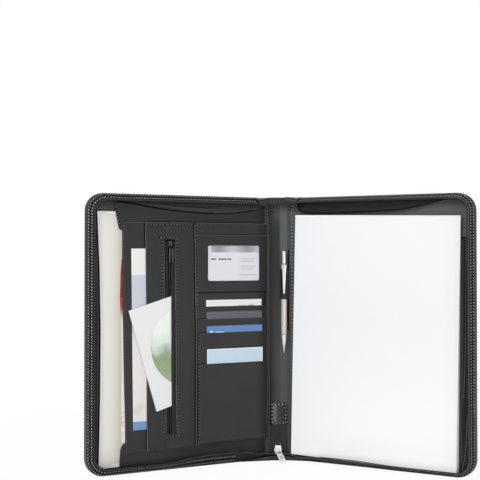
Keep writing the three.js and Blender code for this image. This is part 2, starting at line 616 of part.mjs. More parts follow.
function addPad() {
  const sheet = (fan) => [
    padPoint(0, 0), padPoint(A4.width + fan, 0), padPoint(A4.width, A4.height),
    padPoint(0, A4.height),
  ];
  layer(BACK, "pad_pocket_panel", points([
    [INNER_EDGE, 3], [216, 3], [220, 20], [221.6, 274.8], [INNER_EDGE, 274.8],
  ]), PAD_LEVELS.panel, LEATHERETTE);
  layer(BACK, "pad_backing", sheet(0), PAD_LEVELS.backing, GREYBOARD);

  // The sheets fan out a little towards the lower outer corner, the lowest sheet most
  const [low, high] = PAD_LEVELS.sheets;
  const corners = [...sheet(PAD.fan).map((p) => [p.x, p.y, low]),
    ...sheet(0).map((p) => [p.x, p.y, high])];
  const geometry = new THREE.BufferGeometry();
  geometry.setAttribute("position", new THREE.Float32BufferAttribute(corners.flat(), 3));
  geometry.setIndex([
    0, 2, 1, 0, 3, 2, 4, 5, 6, 4, 6, 7, 0, 1, 5, 0, 5, 4,
    1, 2, 6, 1, 6, 5, 2, 3, 7, 2, 7, 6, 3, 0, 4, 3, 4, 7,
  ]);
  addTo(frames[BACK], "pad_sheets", geometry, WHITE_PAPER);
  layer(BACK, "pad_gum_strip", [
    padPoint(0, A4.height + 0.2), padPoint(A4.width, A4.height + 0.2),
    padPoint(A4.width, A4.height + 0.8), padPoint(0, A4.height + 0.8),
  ], [PAD_LEVELS.backing[0], PAD_LEVELS.sheets[1]], WHITE_PAPER);
  layer(BACK, "back_gusset_fold", points([
    [8, 324], [7.3, 317.8], [19, 307.6], [82, 307.4], [146, 309.5], [194.4, 318.3], [200, 324],
  ]), PAD_LEVELS.fold, GUSSET_CLOTH);
}

addSpine();
addZipTail();
addMainSlider();
addPen();
addShell(FRONT, "front");
addShell(BACK, "back");
addFrontSkin();
layer(BACK, "back_skin", coverOutline(0, HINGE_CLEARANCE), SKIN, LEATHERETTE);
addDocuments();
addPocketPanels();
addZipPocket();
addPocketSlider();
addDiscSleeve();
addCards();
addPad();

export default organizer;
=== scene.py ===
# %% [markdown]
# A zip-around organizer for A4 paper stands open like a book. Its hard construction comes from a
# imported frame, which fixes every size. This lesson dresses it: leatherette with turned edges, a
# padded cloth panel, zips with a real coil, thread, paper, a pen and small metal parts.

# %% Load the frame
import bpy
import json
import math
from mathutils import Matrix, Vector

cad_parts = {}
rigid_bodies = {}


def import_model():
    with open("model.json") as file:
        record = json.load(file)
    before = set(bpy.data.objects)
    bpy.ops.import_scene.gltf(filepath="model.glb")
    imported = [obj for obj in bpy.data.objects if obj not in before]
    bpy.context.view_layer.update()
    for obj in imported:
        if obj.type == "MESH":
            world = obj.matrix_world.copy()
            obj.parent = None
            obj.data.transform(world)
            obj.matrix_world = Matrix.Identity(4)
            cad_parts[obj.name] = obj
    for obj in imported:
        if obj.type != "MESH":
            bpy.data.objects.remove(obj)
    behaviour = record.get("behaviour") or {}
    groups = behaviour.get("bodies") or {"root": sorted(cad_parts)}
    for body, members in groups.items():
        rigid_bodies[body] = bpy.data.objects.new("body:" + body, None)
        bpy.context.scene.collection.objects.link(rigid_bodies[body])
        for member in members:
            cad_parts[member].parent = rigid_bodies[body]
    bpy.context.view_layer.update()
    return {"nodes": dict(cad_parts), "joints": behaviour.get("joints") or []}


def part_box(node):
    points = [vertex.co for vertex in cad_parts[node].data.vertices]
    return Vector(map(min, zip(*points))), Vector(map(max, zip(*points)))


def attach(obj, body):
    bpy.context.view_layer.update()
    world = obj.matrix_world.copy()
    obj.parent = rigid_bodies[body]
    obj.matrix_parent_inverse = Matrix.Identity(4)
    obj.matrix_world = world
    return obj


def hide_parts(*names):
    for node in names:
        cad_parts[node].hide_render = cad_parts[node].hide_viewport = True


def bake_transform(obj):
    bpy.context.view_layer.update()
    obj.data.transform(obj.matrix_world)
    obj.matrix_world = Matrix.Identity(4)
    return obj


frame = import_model()

# %% [markdown]
# Every piece is drawn flat, in millimetres, in the frame of what carries it: u runs outwards from
# the fold, v runs up, and w rises out of the lining towards the reader. On the spine u runs across.
# One matrix for each carrier then puts the finished mesh in its place, so that the drawing never has
# to think about the angle at which the covers stand.

# %% The three flat frames
MM = 0.001
FRONT = -1
BACK = 1
hinge = next(j for j in frame["joints"] if j["name"] == "back_cover_hinge")
HALF_SPINE = hinge["pos_m"][0] / MM
OPEN = math.radians(hinge["range_deg"][1])
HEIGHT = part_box("spine_skin")[1].z / MM
WIDTH = 235.0
CORNER = 21.0
TOP_OF_SHELL = -4.6


def carrier(u_axis, w_axis, fold_x):
    turn = Matrix((u_axis, (0, 0, 1), w_axis)).transposed().to_4x4()
    return Matrix.Translation((fold_x * MM, 0, 0)) @ turn @ Matrix.Scale(MM, 4)


def cover_place(side):
    u_axis = (side * math.cos(OPEN), -math.sin(OPEN), 0)
    w_axis = (-side * math.sin(OPEN), -math.cos(OPEN), 0)
    return carrier(u_axis, w_axis, side * HALF_SPINE)


PLACES = {
    "front_cover": cover_place(FRONT),
    "back_cover": cover_place(BACK),
    "spine": carrier((1, 0, 0), (0, -1, 0), 0),
}
SIDES = {"front_cover": FRONT, "back_cover": BACK}
COVERS = (("front_cover", "front"), ("back_cover", "back"))
print("half spine", HALF_SPINE, "height", HEIGHT, "cover angle", math.degrees(OPEN))

# %% [markdown]
# A few helpers repeat what the hand does in edit mode. A sheet starts as a primitive grid whose
# crossings are moved to where the drawing says, then Solidify gives it a wall and Bevel turns its
# edges. A strip along an edge is a section carried through stations, again on a grid.


# %% Select, apply and place
def alone(piece):
    bpy.ops.object.select_all(action="DESELECT")
    piece.select_set(True)
    bpy.context.view_layer.objects.active = piece


def apply_all(piece):
    alone(piece)
    for modifier in list(piece.modifiers):
        bpy.ops.object.modifier_apply(modifier=modifier.name)


def smooth(piece, angle=40):
    alone(piece)
    bpy.ops.object.shade_smooth_by_angle(angle=math.radians(angle))


def named(piece, name):
    piece.name = name
    piece.data.name = name
    return piece


def place(piece, where):
    matrix = PLACES[where]
    piece.data.transform(matrix)
    if matrix.determinant() < 0:
        piece.data.flip_normals()
    piece.data.update()
    return piece


def join(name, pieces):
    alone(pieces[0])
    for piece in pieces:
        piece.select_set(True)
    bpy.ops.object.join()
    return named(bpy.context.object, name)


# %% Grids and walls
def grid(name, columns, rows, shape):
    bpy.ops.mesh.primitive_grid_add(x_subdivisions=columns, y_subdivisions=rows, size=1)
    piece = named(bpy.context.object, name)
    for crossing in piece.data.vertices:
        crossing.co = shape(crossing.co.x + 0.5, crossing.co.y + 0.5)
    return piece


def round_edges(piece, width, segments=2, angle=55):
    rounded = piece.modifiers.new("rounded", "BEVEL")
    rounded.width = width
    rounded.segments = segments
    rounded.limit_method = "ANGLE"
    rounded.angle_limit = math.radians(angle)


def thicken(piece, thickness, edge=0.22, segments=2):
    wall = piece.modifiers.new("wall", "SOLIDIFY")
    wall.thickness = thickness
    wall.offset = -1
    if edge:
        round_edges(piece, edge, segments)
    apply_all(piece)
    smooth(piece)
    return piece


def ease(t):
    t = min(max(t, 0.0), 1.0)
    return t * t * (3 - 2 * t)


def along(line, t):
    """The place a share t of the way up a line of points, by height."""
    height = line[0][1] + (line[-1][1] - line[0][1]) * t
    for a, b in zip(line, line[1:]):
        if height <= b[1] + 1e-9:
            share = (height - a[1]) / (b[1] - a[1])
            return tuple(p + (q - p) * share for p, q in zip(a, b))
    return line[-1]


def pick(line, t):
    """The place a share t of the way along a line, by its count of points."""
    at = t * (len(line) - 1)
    k = min(int(at), len(line) - 2)
    return line[k].lerp(line[k + 1], at - k)


def raised(line, w):
    """A line of (u, v) points lifted to one level."""
    return [(u, v, w) for u, v in line]


def shifted(line, by):
    return [(u + by, v) for u, v in line]


def flat(s, t):
    return 0.0


def leaf(name, where, inner, outer, face, thickness, lift=flat, drop=flat, cells=(24, 40),
         edge=0.22, outside=False):
    """A sheet between an inner and an outer line, each given from its foot up."""
    def shape(s, t):
        a = along(inner, t)
        b = along(outer, t)
        u = a[0] + (b[0] - a[0]) * s
        v = a[1] + (b[1] - a[1]) * s - drop(s, t)
        return Vector((u, v, face + lift(s, t)))

    piece = grid(name, *cells, shape)
    if outside:
        piece.data.flip_normals()
    if thickness:
        thicken(piece, thickness, edge)
    return place(piece, where)


# %% Strips along an edge
def merge(piece, distance):
    alone(piece)
    bpy.ops.object.mode_set(mode="EDIT")
    bpy.ops.mesh.select_all(action="SELECT")
    bpy.ops.mesh.remove_doubles(threshold=distance)
    bpy.ops.object.mode_set(mode="OBJECT")


def close(piece):
    merge(piece, 1e-4)
    bpy.ops.object.mode_set(mode="EDIT")
    bpy.ops.mesh.select_all(action="SELECT")
    bpy.ops.mesh.fill_holes(sides=0)
    bpy.ops.mesh.select_all(action="SELECT")
    bpy.ops.mesh.normals_make_consistent(inside=False)
    bpy.ops.object.mode_set(mode="OBJECT")
    return piece


# %% Sweeps and beads
def sweep(name, stations, section):
    """A closed section of (across, up) points, carried through (place, across, up) stations."""
    columns = len(section)
    rows = len(stations) - 1

    def shape(s, t):
        across, up = section[round(s * columns) % columns]
        at, across_axis, up_axis = stations[round(t * rows)]
        return at + across_axis * across + up_axis * up

    piece = close(grid(name, columns, rows, shape))
    smooth(piece, 50)
    return piece


def ring(radius, sides=8, flatten=1.0):
    turns = [2 * math.pi * k / sides for k in range(sides)]
    return [(radius * math.cos(a), radius * flatten * math.sin(a)) for a in turns]


def path_stations(points):
    """Stations along a line of (u, v, w) points, with w as up as far as the line lets it."""
    points = [Vector(p) for p in points]
    stations = []
    for k, at in enumerate(points):
        ahead = points[min(k + 1, len(points) - 1)] - points[max(k - 1, 0)]
        across = ahead.cross(Vector((0, 0, 1))).normalized()
        stations.append((at, across, across.cross(ahead).normalized()))
    return stations


def bead(name, where, points, radius, flatten=1.0):
    return place(sweep(name, path_stations(points), ring(radius, flatten=flatten)), where)


# %% Even and smooth lines
def evenly(points, step):
    """The same line with a point every step or so."""
    found = [Vector(points[0])]
    for a, b in zip(points, points[1:]):
        a, b = Vector(a), Vector(b)
        count = max(1, round((b - a).length / step))
        found += [a.lerp(b, (k + 1) / count) for k in range(count)]
    return found


def curved(points, step=2.0):
    """A smooth line through the points, with a point every step or so."""
    points = [Vector(p) for p in points]
    ends = [points[0] * 2 - points[1], *points, points[-1] * 2 - points[-2]]
    found = [points[0]]
    for a, b, c, d in zip(ends, ends[1:], ends[2:], ends[3:]):
        count = max(1, round((c - b).length / step))
        for k in range(1, count + 1):
            t = k / count
            found.append(0.5 * (2 * b + (c - a) * t + (2 * a - 5 * b + 4 * c - d) * t * t
                                + (3 * b - a - 3 * c + d) * t ** 3))
    return found


# %% [markdown]
# Thread and zip teeth repeat hundreds of times. One stitch or one tooth is modelled, an Array
# modifier repeats it for the length of a guide line, and a Curve modifier lays the row on that line.


# %% Rows that follow a line
def guide(points):
    curve = bpy.data.curves.new("guide", "CURVE")
    curve.dimensions = "3D"
    curve.twist_mode = "Z_UP"
    spline = curve.splines.new("POLY")
    spline.points.add(len(points) - 1)
    for knot, at in zip(spline.points, points):
        knot.co = (*at, 1)
    piece = bpy.data.objects.new("guide", curve)
    bpy.context.scene.collection.objects.link(piece)
    return piece


def repeat_along(piece, points, pitch):
    path = guide(points)
    rows = piece.modifiers.new("repeat", "ARRAY")
    rows.fit_type = "FIT_CURVE"
    rows.curve = path
    rows.use_relative_offset = False
    rows.use_constant_offset = True
    rows.constant_offset_displace = (pitch, 0, 0)
    bend = piece.modifiers.new("follow", "CURVE")
    bend.object = path
    apply_all(piece)
    bpy.data.objects.remove(path)
    return piece


def ball_row(name, where, points, pitch, size, sides=6, rings=4, start=0.0):
    """A row of rounded bars of that length, width and height along a line."""
    bpy.ops.mesh.primitive_uv_sphere_add(segments=sides, ring_count=rings, radius=0.5)
    piece = named(bpy.context.object, name)
    shift = Matrix.Translation((start + size[0] / 2, 0, 0))
    piece.data.transform(shift @ Matrix.Diagonal((*size, 1)))
    repeat_along(piece, points, pitch)
    smooth(piece, 60)
    return place(piece, where) if where else piece


STITCH = (2.0, 0.9, 0.6)
STITCH_PITCH = 3.9


def seam(where, points, pitch=STITCH_PITCH, size=STITCH, hole_width=1.6, yarn=None, scale=1.0,
         hole=None):
    """Bars of thread with a dark needle hole between each two, along a line."""
    line = evenly(points, 6 * scale)
    gap = pitch - size[0]
    hole_size = (gap * 1.2, hole_width * scale, 0.5 * scale)
    holes = ball_row("holes", where, line, pitch, hole_size, start=size[0] - gap * 0.1)
    holes.data.materials.append(hole or HOLE_AND_SHADE)
    if not yarn:
        return [holes]
    bars = ball_row("thread", where, line, pitch, size)
    bars.data.materials.append(yarn)
    return [bars, holes]


def sewn(name, body, slot, *seams):
    """All seams of one body as a single piece that keeps its thread and its holes apart."""
    piece = join(name, [part for parts in seams for part in parts])
    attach(piece, body)
    print(piece.name, "on", body, "has", len(piece.data.polygons), "faces")
    return piece


# %% [markdown]
# A small rigid part keeps the frame's shape. Its copy is merged, its flat faces are joined again and
# its sharp edges are rounded, because a rounded edge is what catches the light on metal.


# %% Rounded copies of small rigid parts
def refined(node, name, width, segments=3):
    """A merged copy of a faceted part with its sharp edges rounded."""
    source = frame["nodes"][node]
    piece = bpy.data.objects.new(name, source.data.copy())
    bpy.context.scene.collection.objects.link(piece)
    named(piece, name)
    piece.data.materials.clear()
    merge(piece, 1e-6)
    bpy.ops.object.mode_set(mode="EDIT")
    bpy.ops.mesh.dissolve_limited(angle_limit=math.radians(3))
    bpy.ops.object.mode_set(mode="OBJECT")
    round_edges(piece, width * MM, segments, 30)
    apply_all(piece)
    smooth(piece, 35)
    return piece


# %% [markdown]
# Finishes are node groups written as arithmetic. A small class wraps a socket, so that an
# expression such as 1 - mask adds its Math nodes by itself. Patterns read Object coordinates turned
# into the cover's own u, v and w, in millimetres, so one finish serves both covers.


# %% Shader arithmetic
class Wire:
    """A socket that takes part in plain arithmetic."""

    def __init__(self, nodes, socket):
        self.nodes = nodes
        self.socket = socket

    def math(self, operation, *others, swap=False):
        values = [*others, self] if swap else [self, *others]
        return self.nodes.node("ShaderNodeMath", values, operation=operation)

    def __add__(self, other):
        return self.math("ADD", other)

    __radd__ = __add__

    def __sub__(self, other):
        return self.math("SUBTRACT", other)

    def __rsub__(self, other):
        return self.math("SUBTRACT", other, swap=True)

    def __mul__(self, other):
        return self.math("MULTIPLY", other)

    __rmul__ = __mul__

    def __truediv__(self, other):
        return self.math("DIVIDE", other)

    def __lt__(self, other):
        return self.math("LESS_THAN", other)

    def __gt__(self, other):
        return self.math("GREATER_THAN", other)

    def within(self, low, high):
        return (self > low) * (self < high)

    def soft(self, low, high):
        """0 below low, 1 above high, eased between them."""
        return self.nodes.node("ShaderNodeMapRange", {
            "Value": self, "From Min": low, "From Max": high,
        }, interpolation_type="SMOOTHSTEP")


# %% Node trees, materials and colours
class Nodes:
    """A node tree, with the one method that adds a node to it."""

    def __init__(self, tree):
        self.tree = tree

    def feed(self, socket, value):
        if isinstance(value, Wire):
            self.tree.links.new(value.socket, socket)
        else:
            socket.default_value = value

    def node(self, kind, values=(), output=0, **settings):
        node = self.tree.nodes.new(kind)
        for name, value in settings.items():
            setattr(node, name, value)
        pairs = values.items() if isinstance(values, dict) else enumerate(values)
        for key, value in pairs:
            self.feed(node.inputs[key], value)
        return Wire(self, node.outputs[output])


class Finish(Nodes):
    """A material around one Principled shader."""

    def __init__(self, name, roughness=0.5, **constants):
        self.material = bpy.data.materials.new(name)
        self.material.use_nodes = True
        super().__init__(self.material.node_tree)
        self.shader = self.tree.nodes["Principled BSDF"]
        self.set("Roughness", roughness)
        for socket, value in constants.items():
            self.set(socket.replace("_", " "), value)
        print("finish", name)

    def set(self, name, value):
        self.feed(self.shader.inputs[name], value)

    def objects(self):
        return self.node("ShaderNodeTexCoord", output="Object")

    def cover(self):
        """u, v and w of a cover, in millimetres, from the Object coordinates."""
        split = self.node("ShaderNodeSeparateXYZ", [self.objects()]).socket.node
        x, y, z = (Wire(self, split.outputs[k]) for k in range(3))
        out = x.math("ABSOLUTE") - HALF_SPINE * MM
        u = (out * math.cos(OPEN) - y * math.sin(OPEN)) / MM
        w = (0 - y * math.cos(OPEN) - out * math.sin(OPEN)) / MM
        return u, z / MM, w

    def across(self):
        """x and z on the spine, in millimetres."""
        split = self.node("ShaderNodeSeparateXYZ", [self.objects()]).socket.node
        return Wire(self, split.outputs[0]) / MM, Wire(self, split.outputs[2]) / MM

    def noise(self, size, detail=2.0, stretch=(1, 1, 1)):
        """Cloudy noise from 0 to 1 with features of that size in millimetres."""
        vector = self.node("ShaderNodeMapping", {"Vector": self.objects(), "Scale": stretch})
        return self.node("ShaderNodeTexNoise", {
            "Vector": vector, "Scale": 1 / (size * MM), "Detail": detail,
        })

    def cells(self, size, feature="F1"):
        return self.node("ShaderNodeTexVoronoi", {
            "Vector": self.objects(), "Scale": 1 / (size * MM),
        }, feature=feature)

    def mix(self, share, a, b):
        """Two colours mixed. This node names its number sockets A and B too, so places are used."""
        return self.node("ShaderNodeMix", {0: share, 6: a, 7: b}, output=2, data_type="RGBA")

    def bump(self, height, distance):
        self.set("Normal", self.node("ShaderNodeBump", {
            "Height": height, "Distance": distance * MM, "Strength": 1.0,
        }))


def ink(red, green, blue):
    """An sRGB colour, as it looks on a screen, as the linear values that a shader takes."""
    def linear(c):
        c /= 255
        return c / 12.92 if c <= 0.04045 else ((c + 0.055) / 1.055) ** 2.4

    return (linear(red), linear(green), linear(blue), 1.0)


def tinted(colour, share):
    """The same colour made darker or lighter by a share."""
    return tuple(c * share for c in colour[:3]) + (1.0,)


# %% [markdown]
# Leatherette is a coated cloth with a fine embossed grain: small cells with soft valleys between
# them. Its colour shifts a little from place to place, and rubbed grain tops shine slightly more.


# %% Leatherette, cloth and lining
TONE = 0.08


def leatherette(name, colour, roughness, grain=0.9, depth=0.06, painted_fold_shade=0.0, painted_foot_shade=0.0,
                lit=None):
    """Grained leatherette; painted shade at the top, fold and foot, and a painted highlight band
    along u.
    """
    finish = Finish(name, Specular_IOR_Level=0.35)
    cells = finish.cells(grain, "SMOOTH_F1")
    clouds = finish.noise(38, 3)
    fine = finish.noise(0.5, 3)
    shade = finish.mix(clouds.soft(0.3, 0.7), tinted(colour, 1 - TONE), tinted(colour, 1 + TONE))
    u, v, w = finish.cover()
    # Painted shade: darker towards the top, and much darker towards the fold
    if painted_fold_shade:
        shade = finish.mix(v.soft(150, 300), shade, tinted(colour, 0.74))
        shade = finish.mix(u.soft(4, 20), tinted(colour, 1 - painted_fold_shade), shade)
    # Painted shade towards the foot, under the rim
    if painted_foot_shade:
        shade = finish.mix(v.soft(3, 16), tinted(colour, 1 - painted_foot_shade), shade)
    # A painted highlight: a lighter band along u
    if lit:
        band = u.soft(*lit[:2]) * (1 - u.soft(*lit[2:]))
        shade = finish.mix(band, shade, ink(66, 68, 70))
    finish.set("Base Color", shade)
    finish.set("Roughness", cells * 0.12 + (roughness - 0.08) + clouds * 0.06)
    finish.bump(cells * -1 + fine * 0.3, depth)
    return finish.material


def weave(size, u, v):
    """A plain weave as crossing threads, from 0 in the gaps to 1 on the crowns."""
    turn = math.pi / size
    return ((u * turn).math("SINE") * (v * turn).math("SINE")) * 0.5 + 0.5


def woven(name, colour, thread, roughness, contrast=0.3, sheen=0.0, depth=0.08, painted_hem_shade=False):
    """A woven cloth. One that is sewn in gets painted shade near its foot and top, where it dips
    under its hems.
    """
    finish = Finish(name, roughness, Sheen_Weight=sheen, Specular_IOR_Level=0.25)
    u, v, w = finish.cover()
    threads = weave(thread, u, v)
    clouds = finish.noise(25, 2)
    darker = tinted(colour, 1 - contrast)
    cloth = finish.mix(threads * 0.8 + clouds * 0.2, darker, tinted(colour, 1 + contrast))
    # Painted shade along the hems, at the foot and the top
    if painted_hem_shade:
        clear_of_painted_shade = v.soft(4, 11) * (1 - v.soft(316, 322))
        cloth = finish.mix(clear_of_painted_shade, darker, cloth)
    finish.set("Base Color", cloth)
    finish.bump(threads, depth)
    return finish.material


# %% Mix the cloths and leatherettes
# Painted shade: the inside panels darken towards the fold and the top, the pockets also towards the
# foot
INSIDE = leatherette("inside_leatherette", ink(41, 41, 42), 0.6, painted_fold_shade=0.9)
POCKET = leatherette("pocket_leatherette", ink(41, 41, 41), 0.58, painted_fold_shade=0.7,
                     painted_foot_shade=0.75)
HEM = leatherette("hem_leatherette", ink(88, 90, 89), 0.5)
EDGE = leatherette("edge_leatherette", ink(34, 34, 35), 0.4, grain=0.7)
RIM_EDGE = leatherette("rim_leatherette", ink(46, 46, 47), 0.34, grain=0.7)
# Light finishes for thin beads that are painted highlights on edges and fold crests
PAINTED_HIGHLIGHT_EDGE = leatherette("painted_highlight_edge", ink(92, 92, 92), 0.4, grain=0.7)
SOFT_PAINTED_HIGHLIGHT = leatherette("soft_painted_highlight", ink(64, 64, 64), 0.4, grain=0.7)
# A painted highlight: the outside skin is lighter in a band near the free edge
OUTSIDE = leatherette("outside_leatherette", ink(39, 40, 42), 0.48, depth=0.08,
                      lit=(211, 224, 227, 233))
# The padded cloth has painted shade along its top and foot hems
PADDED = woven("padded_cloth", ink(62, 60, 67), 1.5, 0.85, 0.62, 0.1, 0.2, True)
LINING = woven("lining_cloth", ink(68, 69, 68), 0.6, 0.7, 0.12)
# The same lining cloth painted lighter for the back cover: painted light
BACK_LINING_PAINTED_LIGHTER = woven("back_lining", ink(82, 85, 84), 0.6, 0.7, 0.12)
GUSSET = woven("gusset_cloth", ink(15, 16, 16), 0.5, 0.5, 0.15)
# A lighter copy of the gusset cloth: painted sheen for leaves that face the light
GUSSET_PAINTED_SHEEN = woven("gusset_painted_sheen", ink(32, 32, 33), 0.5, 0.36, 0.15)
# Near-black cloth laid in gaps as painted shade
PAINTED_GAP_SHADE = woven("gusset_shadow", ink(9, 9, 9), 0.5, 0.8, 0.1)
TAPE = woven("zip_tape", ink(35, 35, 36), 1.3, 0.75, 0.35)
TAIL_CLOTH = woven("tail_cloth", ink(40, 41, 42), 0.9, 0.6, 0.25)


# %% [markdown]
# The spine is lined with a satin-coated cloth that bends over the board. Its colour holds a painted
# highlight beside the pen, weak near the foot, and painted shade over its top part and by the fold.


# %% Spine satin
def spine_satin():
    finish = Finish("spine_satin", 0.5, Specular_IOR_Level=0.35)
    x, z = finish.across()
    clouds = finish.noise(14, 2, (1, 1, 0.12))
    # A painted highlight: a lit band beside the pen
    band = x.soft(1, 4.5) * (1 - x.soft(11, 14.5))
    low = finish.mix(clouds, ink(47, 50, 48), ink(58, 61, 58))
    # Painted shade over the upper part; the very top is lighter again
    base = finish.mix(z.soft(140, 250), low, ink(30, 31, 31))
    base = finish.mix(z.soft(288, 312), base, ink(60, 61, 61))
    # Painted shade towards the left fold
    shaded = finish.mix(x.soft(-13, 1), ink(13, 13, 13), base)
    # The painted highlight is kept weak near the foot
    share = band * (z.soft(110, 170) * 0.55 + 0.3)
    finish.set("Base Color", finish.mix(share, shaded, ink(82, 86, 84)))
    finish.bump(finish.noise(0.4, 2) + clouds * 4, 0.05)
    return finish.material


SPINE_SATIN = spine_satin()


# %% [markdown]
# Thread and needle holes are too small for a weave, so they are plain with a little cloud. Metal
# here stands in a white room, where full metal turns dark against the lamps, so it is mixed with
# some lacquer: its own colour is near white and only part of it mirrors.


# %% Thread, metal and small plastic
def patch_gloss():
    """A glossy patch over the zip's end, with a painted highlight down one side and painted shade on
    the other.
    """
    finish = Finish("patch_leatherette", 0.32, Specular_IOR_Level=0.5)
    x, z = finish.across()
    # A painted highlight: a lit band down the left side
    lit = x.soft(-7.2, -5.4) * (1 - x.soft(-3.8, 0.6))
    clouds = finish.noise(3, 3)
    base = finish.mix(clouds, ink(20, 22, 21), ink(33, 36, 35))
    # Painted shade: darker towards the right side
    base = finish.mix(x.soft(-1, 5), base, ink(5, 5, 5))
    finish.set("Base Color", finish.mix(lit * (clouds * 0.8 + 0.3), base, ink(102, 106, 104)))
    finish.bump(finish.cells(0.9, "SMOOTH_F1") * -1, 0.08)
    return finish.material


def thread(name, colour):
    finish = Finish(name, 0.7)
    finish.set("Base Color", finish.mix(finish.noise(3, 1), colour, ink(60, 60, 60)))
    finish.bump(finish.noise(0.3, 1, (1, 1, 3)), 0.05)
    return finish.material


def shadow(name, dark, light):
    """The dark of a needle hole, and painted shadow in creases, steps and gaps: hardly any light
    comes back.
    """
    finish = Finish(name, 0.95, Specular_IOR_Level=0.05)
    finish.set("Base Color", finish.mix(finish.noise(3, 1), dark, light))
    return finish.material


def metal(name, colour, roughness, scuff=0.08, metallic=1.0, shine=0.5):
    finish = Finish(name, Metallic=metallic, Specular_IOR_Level=shine)
    marks = finish.noise(1.5, 4, (1, 1, 0.2))
    finish.set("Base Color", finish.mix(marks * 0.3, colour, tinted(colour, 0.6)))
    finish.set("Roughness", marks * scuff + roughness)
    finish.bump(marks, 0.01)
    return finish.material


# %% Mix the threads and metals
THREAD = thread("grey_thread", ink(184, 184, 182))
DARK_THREAD = thread("dark_thread", ink(142, 142, 141))
RIM_THREAD = thread("rim_thread", ink(236, 236, 234))
OUTER_THREAD = thread("outer_thread", ink(84, 84, 85))
SOFT_HOLE = shadow("outer_needle_hole", ink(18, 18, 19), ink(26, 26, 27))
# Needle holes, and the same near-black as painted shadow in creases, steps and gaps
HOLE_AND_SHADE = shadow("needle_hole", ink(5, 5, 5), ink(9, 9, 9))
CHROME = metal("polished_chrome", ink(232, 232, 233), 0.14, 0.08, 0.45)
PEARL = metal("pearl_lacquer", ink(206, 201, 195), 0.28, 0.08, 0.25)
NICKEL = metal("bright_nickel", ink(246, 246, 247), 0.32, 0.08, 0.15)
DULL_NICKEL = metal("dull_nickel", ink(128, 128, 130), 0.35, 0.08, 0.2)
BLACK_METAL = metal("black_lacquer", ink(14, 14, 15), 0.3, 0.08, 0.0, 0.1)


def coil_finish():
    """Dark nylon with a painted highlight, lighter towards the back cover's free edge."""
    finish = Finish("zip_coil", 0.36)
    x, z = finish.across()
    finish.set("Base Color", finish.mix(x.soft(180, 205), ink(58, 58, 59), ink(84, 84, 85)))
    finish.bump(finish.noise(1.5, 2), 0.01)
    return finish.material


TEETH = coil_finish()


# %% [markdown]
# Paper is nearly even in colour, so its fibre is a faint cloud and a very fine bump. The pad's cut
# side is drawn by height: a sine along w gives one thin grey line for every few sheets.


# %% Paper and card
def paper(name, colour, fibre=0.03, roughness=0.85, **constants):
    finish = Finish(name, roughness, Specular_IOR_Level=0.3, **constants)
    finish.set("Base Color", finish.mix(finish.noise(9, 3), colour, tinted(colour, 1 - fibre * 2)))
    finish.bump(finish.noise(0.35, 2), 0.015)
    return finish


def pad_paper():
    """White sheets whose cut edges show as fine lines, one for every few sheets, with painted light
    on the face.
    """
    finish = paper("pad_paper", ink(243, 244, 243))
    u, v, w = finish.cover()
    lines = (w * 9).math("SINE").soft(0.2, 0.9)
    side = 1 - w.soft(4.85, 4.95)
    # Painted light: darker towards the top, lighter at the foot against the rim's shade
    paper_with_painted_light = finish.mix(v.soft(30, 200), ink(238, 240, 239), ink(228, 230, 231))
    paper_with_painted_light = finish.mix(v.soft(4, 26), ink(254, 254, 254), paper_with_painted_light)
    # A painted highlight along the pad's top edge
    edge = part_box("pad_sheets")[1].z / MM - 1.6
    paper_with_painted_light = finish.mix(v > edge, paper_with_painted_light, ink(250, 251, 251))
    finish.set("Base Color", finish.mix(lines * side, paper_with_painted_light, ink(188, 190, 192)))
    return finish.material


WHITE_PAPER = pad_paper()
# A lighter copy of the paper for the two lower sheets: their stepped edge shows as a painted
# highlight
PAINTED_HIGHLIGHT_PAPER = paper("highlight_paper", ink(246, 246, 242)).material


def document_paper():
    """Cream sheets with a painted highlight on the free edge and painted shade where they curl under
    the pocket.
    """
    finish = paper("document_paper", ink(226, 225, 219), 0.05)
    u, v, w = finish.cover()
    cream = finish.mix(finish.noise(40, 2), ink(233, 231, 225), ink(228, 226, 219))
    # A painted highlight along the free edge
    cream = finish.mix(u.soft(205, 215), cream, ink(249, 248, 244))
    # Painted shade where the sheets curl away under the pocket's edge
    finish.set("Base Color", finish.mix(u.soft(190, 207), ink(196, 191, 183), cream))
    return finish.material


DOCUMENT_PAPER = document_paper()
BACKING = paper("grey_board", ink(140, 134, 124), 0.08).material
SLEEVE_PAPER = paper("sleeve_paper", ink(226, 225, 226), 0.008).material


# %% [markdown]
# The printed papers carry plain areas of colour only. Noise moves the borders between the areas, so
# that they look soft and printed, and the borders are placed in the cover's own millimetres.


# %% Printed papers with plain soft areas
def leaflet_print():
    finish = paper("leaflet_print", ink(176, 66, 24))
    u, v, w = finish.cover()
    clouds = finish.noise(14, 3)
    warm = finish.mix(clouds.soft(0.35, 0.65), ink(172, 58, 20), ink(100, 32, 16))
    flecks = finish.noise(4.5, 3)
    fringe = finish.mix(flecks.soft(0.3, 0.6), ink(200, 172, 164), ink(230, 222, 218))
    paler = finish.mix(v.soft(62, 78), fringe, ink(224, 221, 214))
    finish.set("Base Color", finish.mix(v.soft(176, 196), paler, warm))
    return finish.material


def brochure_print():
    finish = paper("brochure_print", ink(236, 236, 236), roughness=0.5)
    u, v, w = finish.cover()
    clouds = finish.noise(26, 2)
    drift = v + (clouds - 0.5) * 60
    top = finish.mix(v.soft(230.5, 232.5), ink(192, 196, 206), ink(224, 223, 220))
    body = finish.mix(drift.soft(120, 190), ink(220, 217, 216), top)
    warm = finish.mix(clouds.soft(0.5, 0.7), body, ink(206, 192, 180))
    low = finish.mix(v.soft(80, 150), warm, body)
    finish.set("Base Color", finish.mix(v < 59.6, low, ink(108, 146, 194)))
    return finish.material


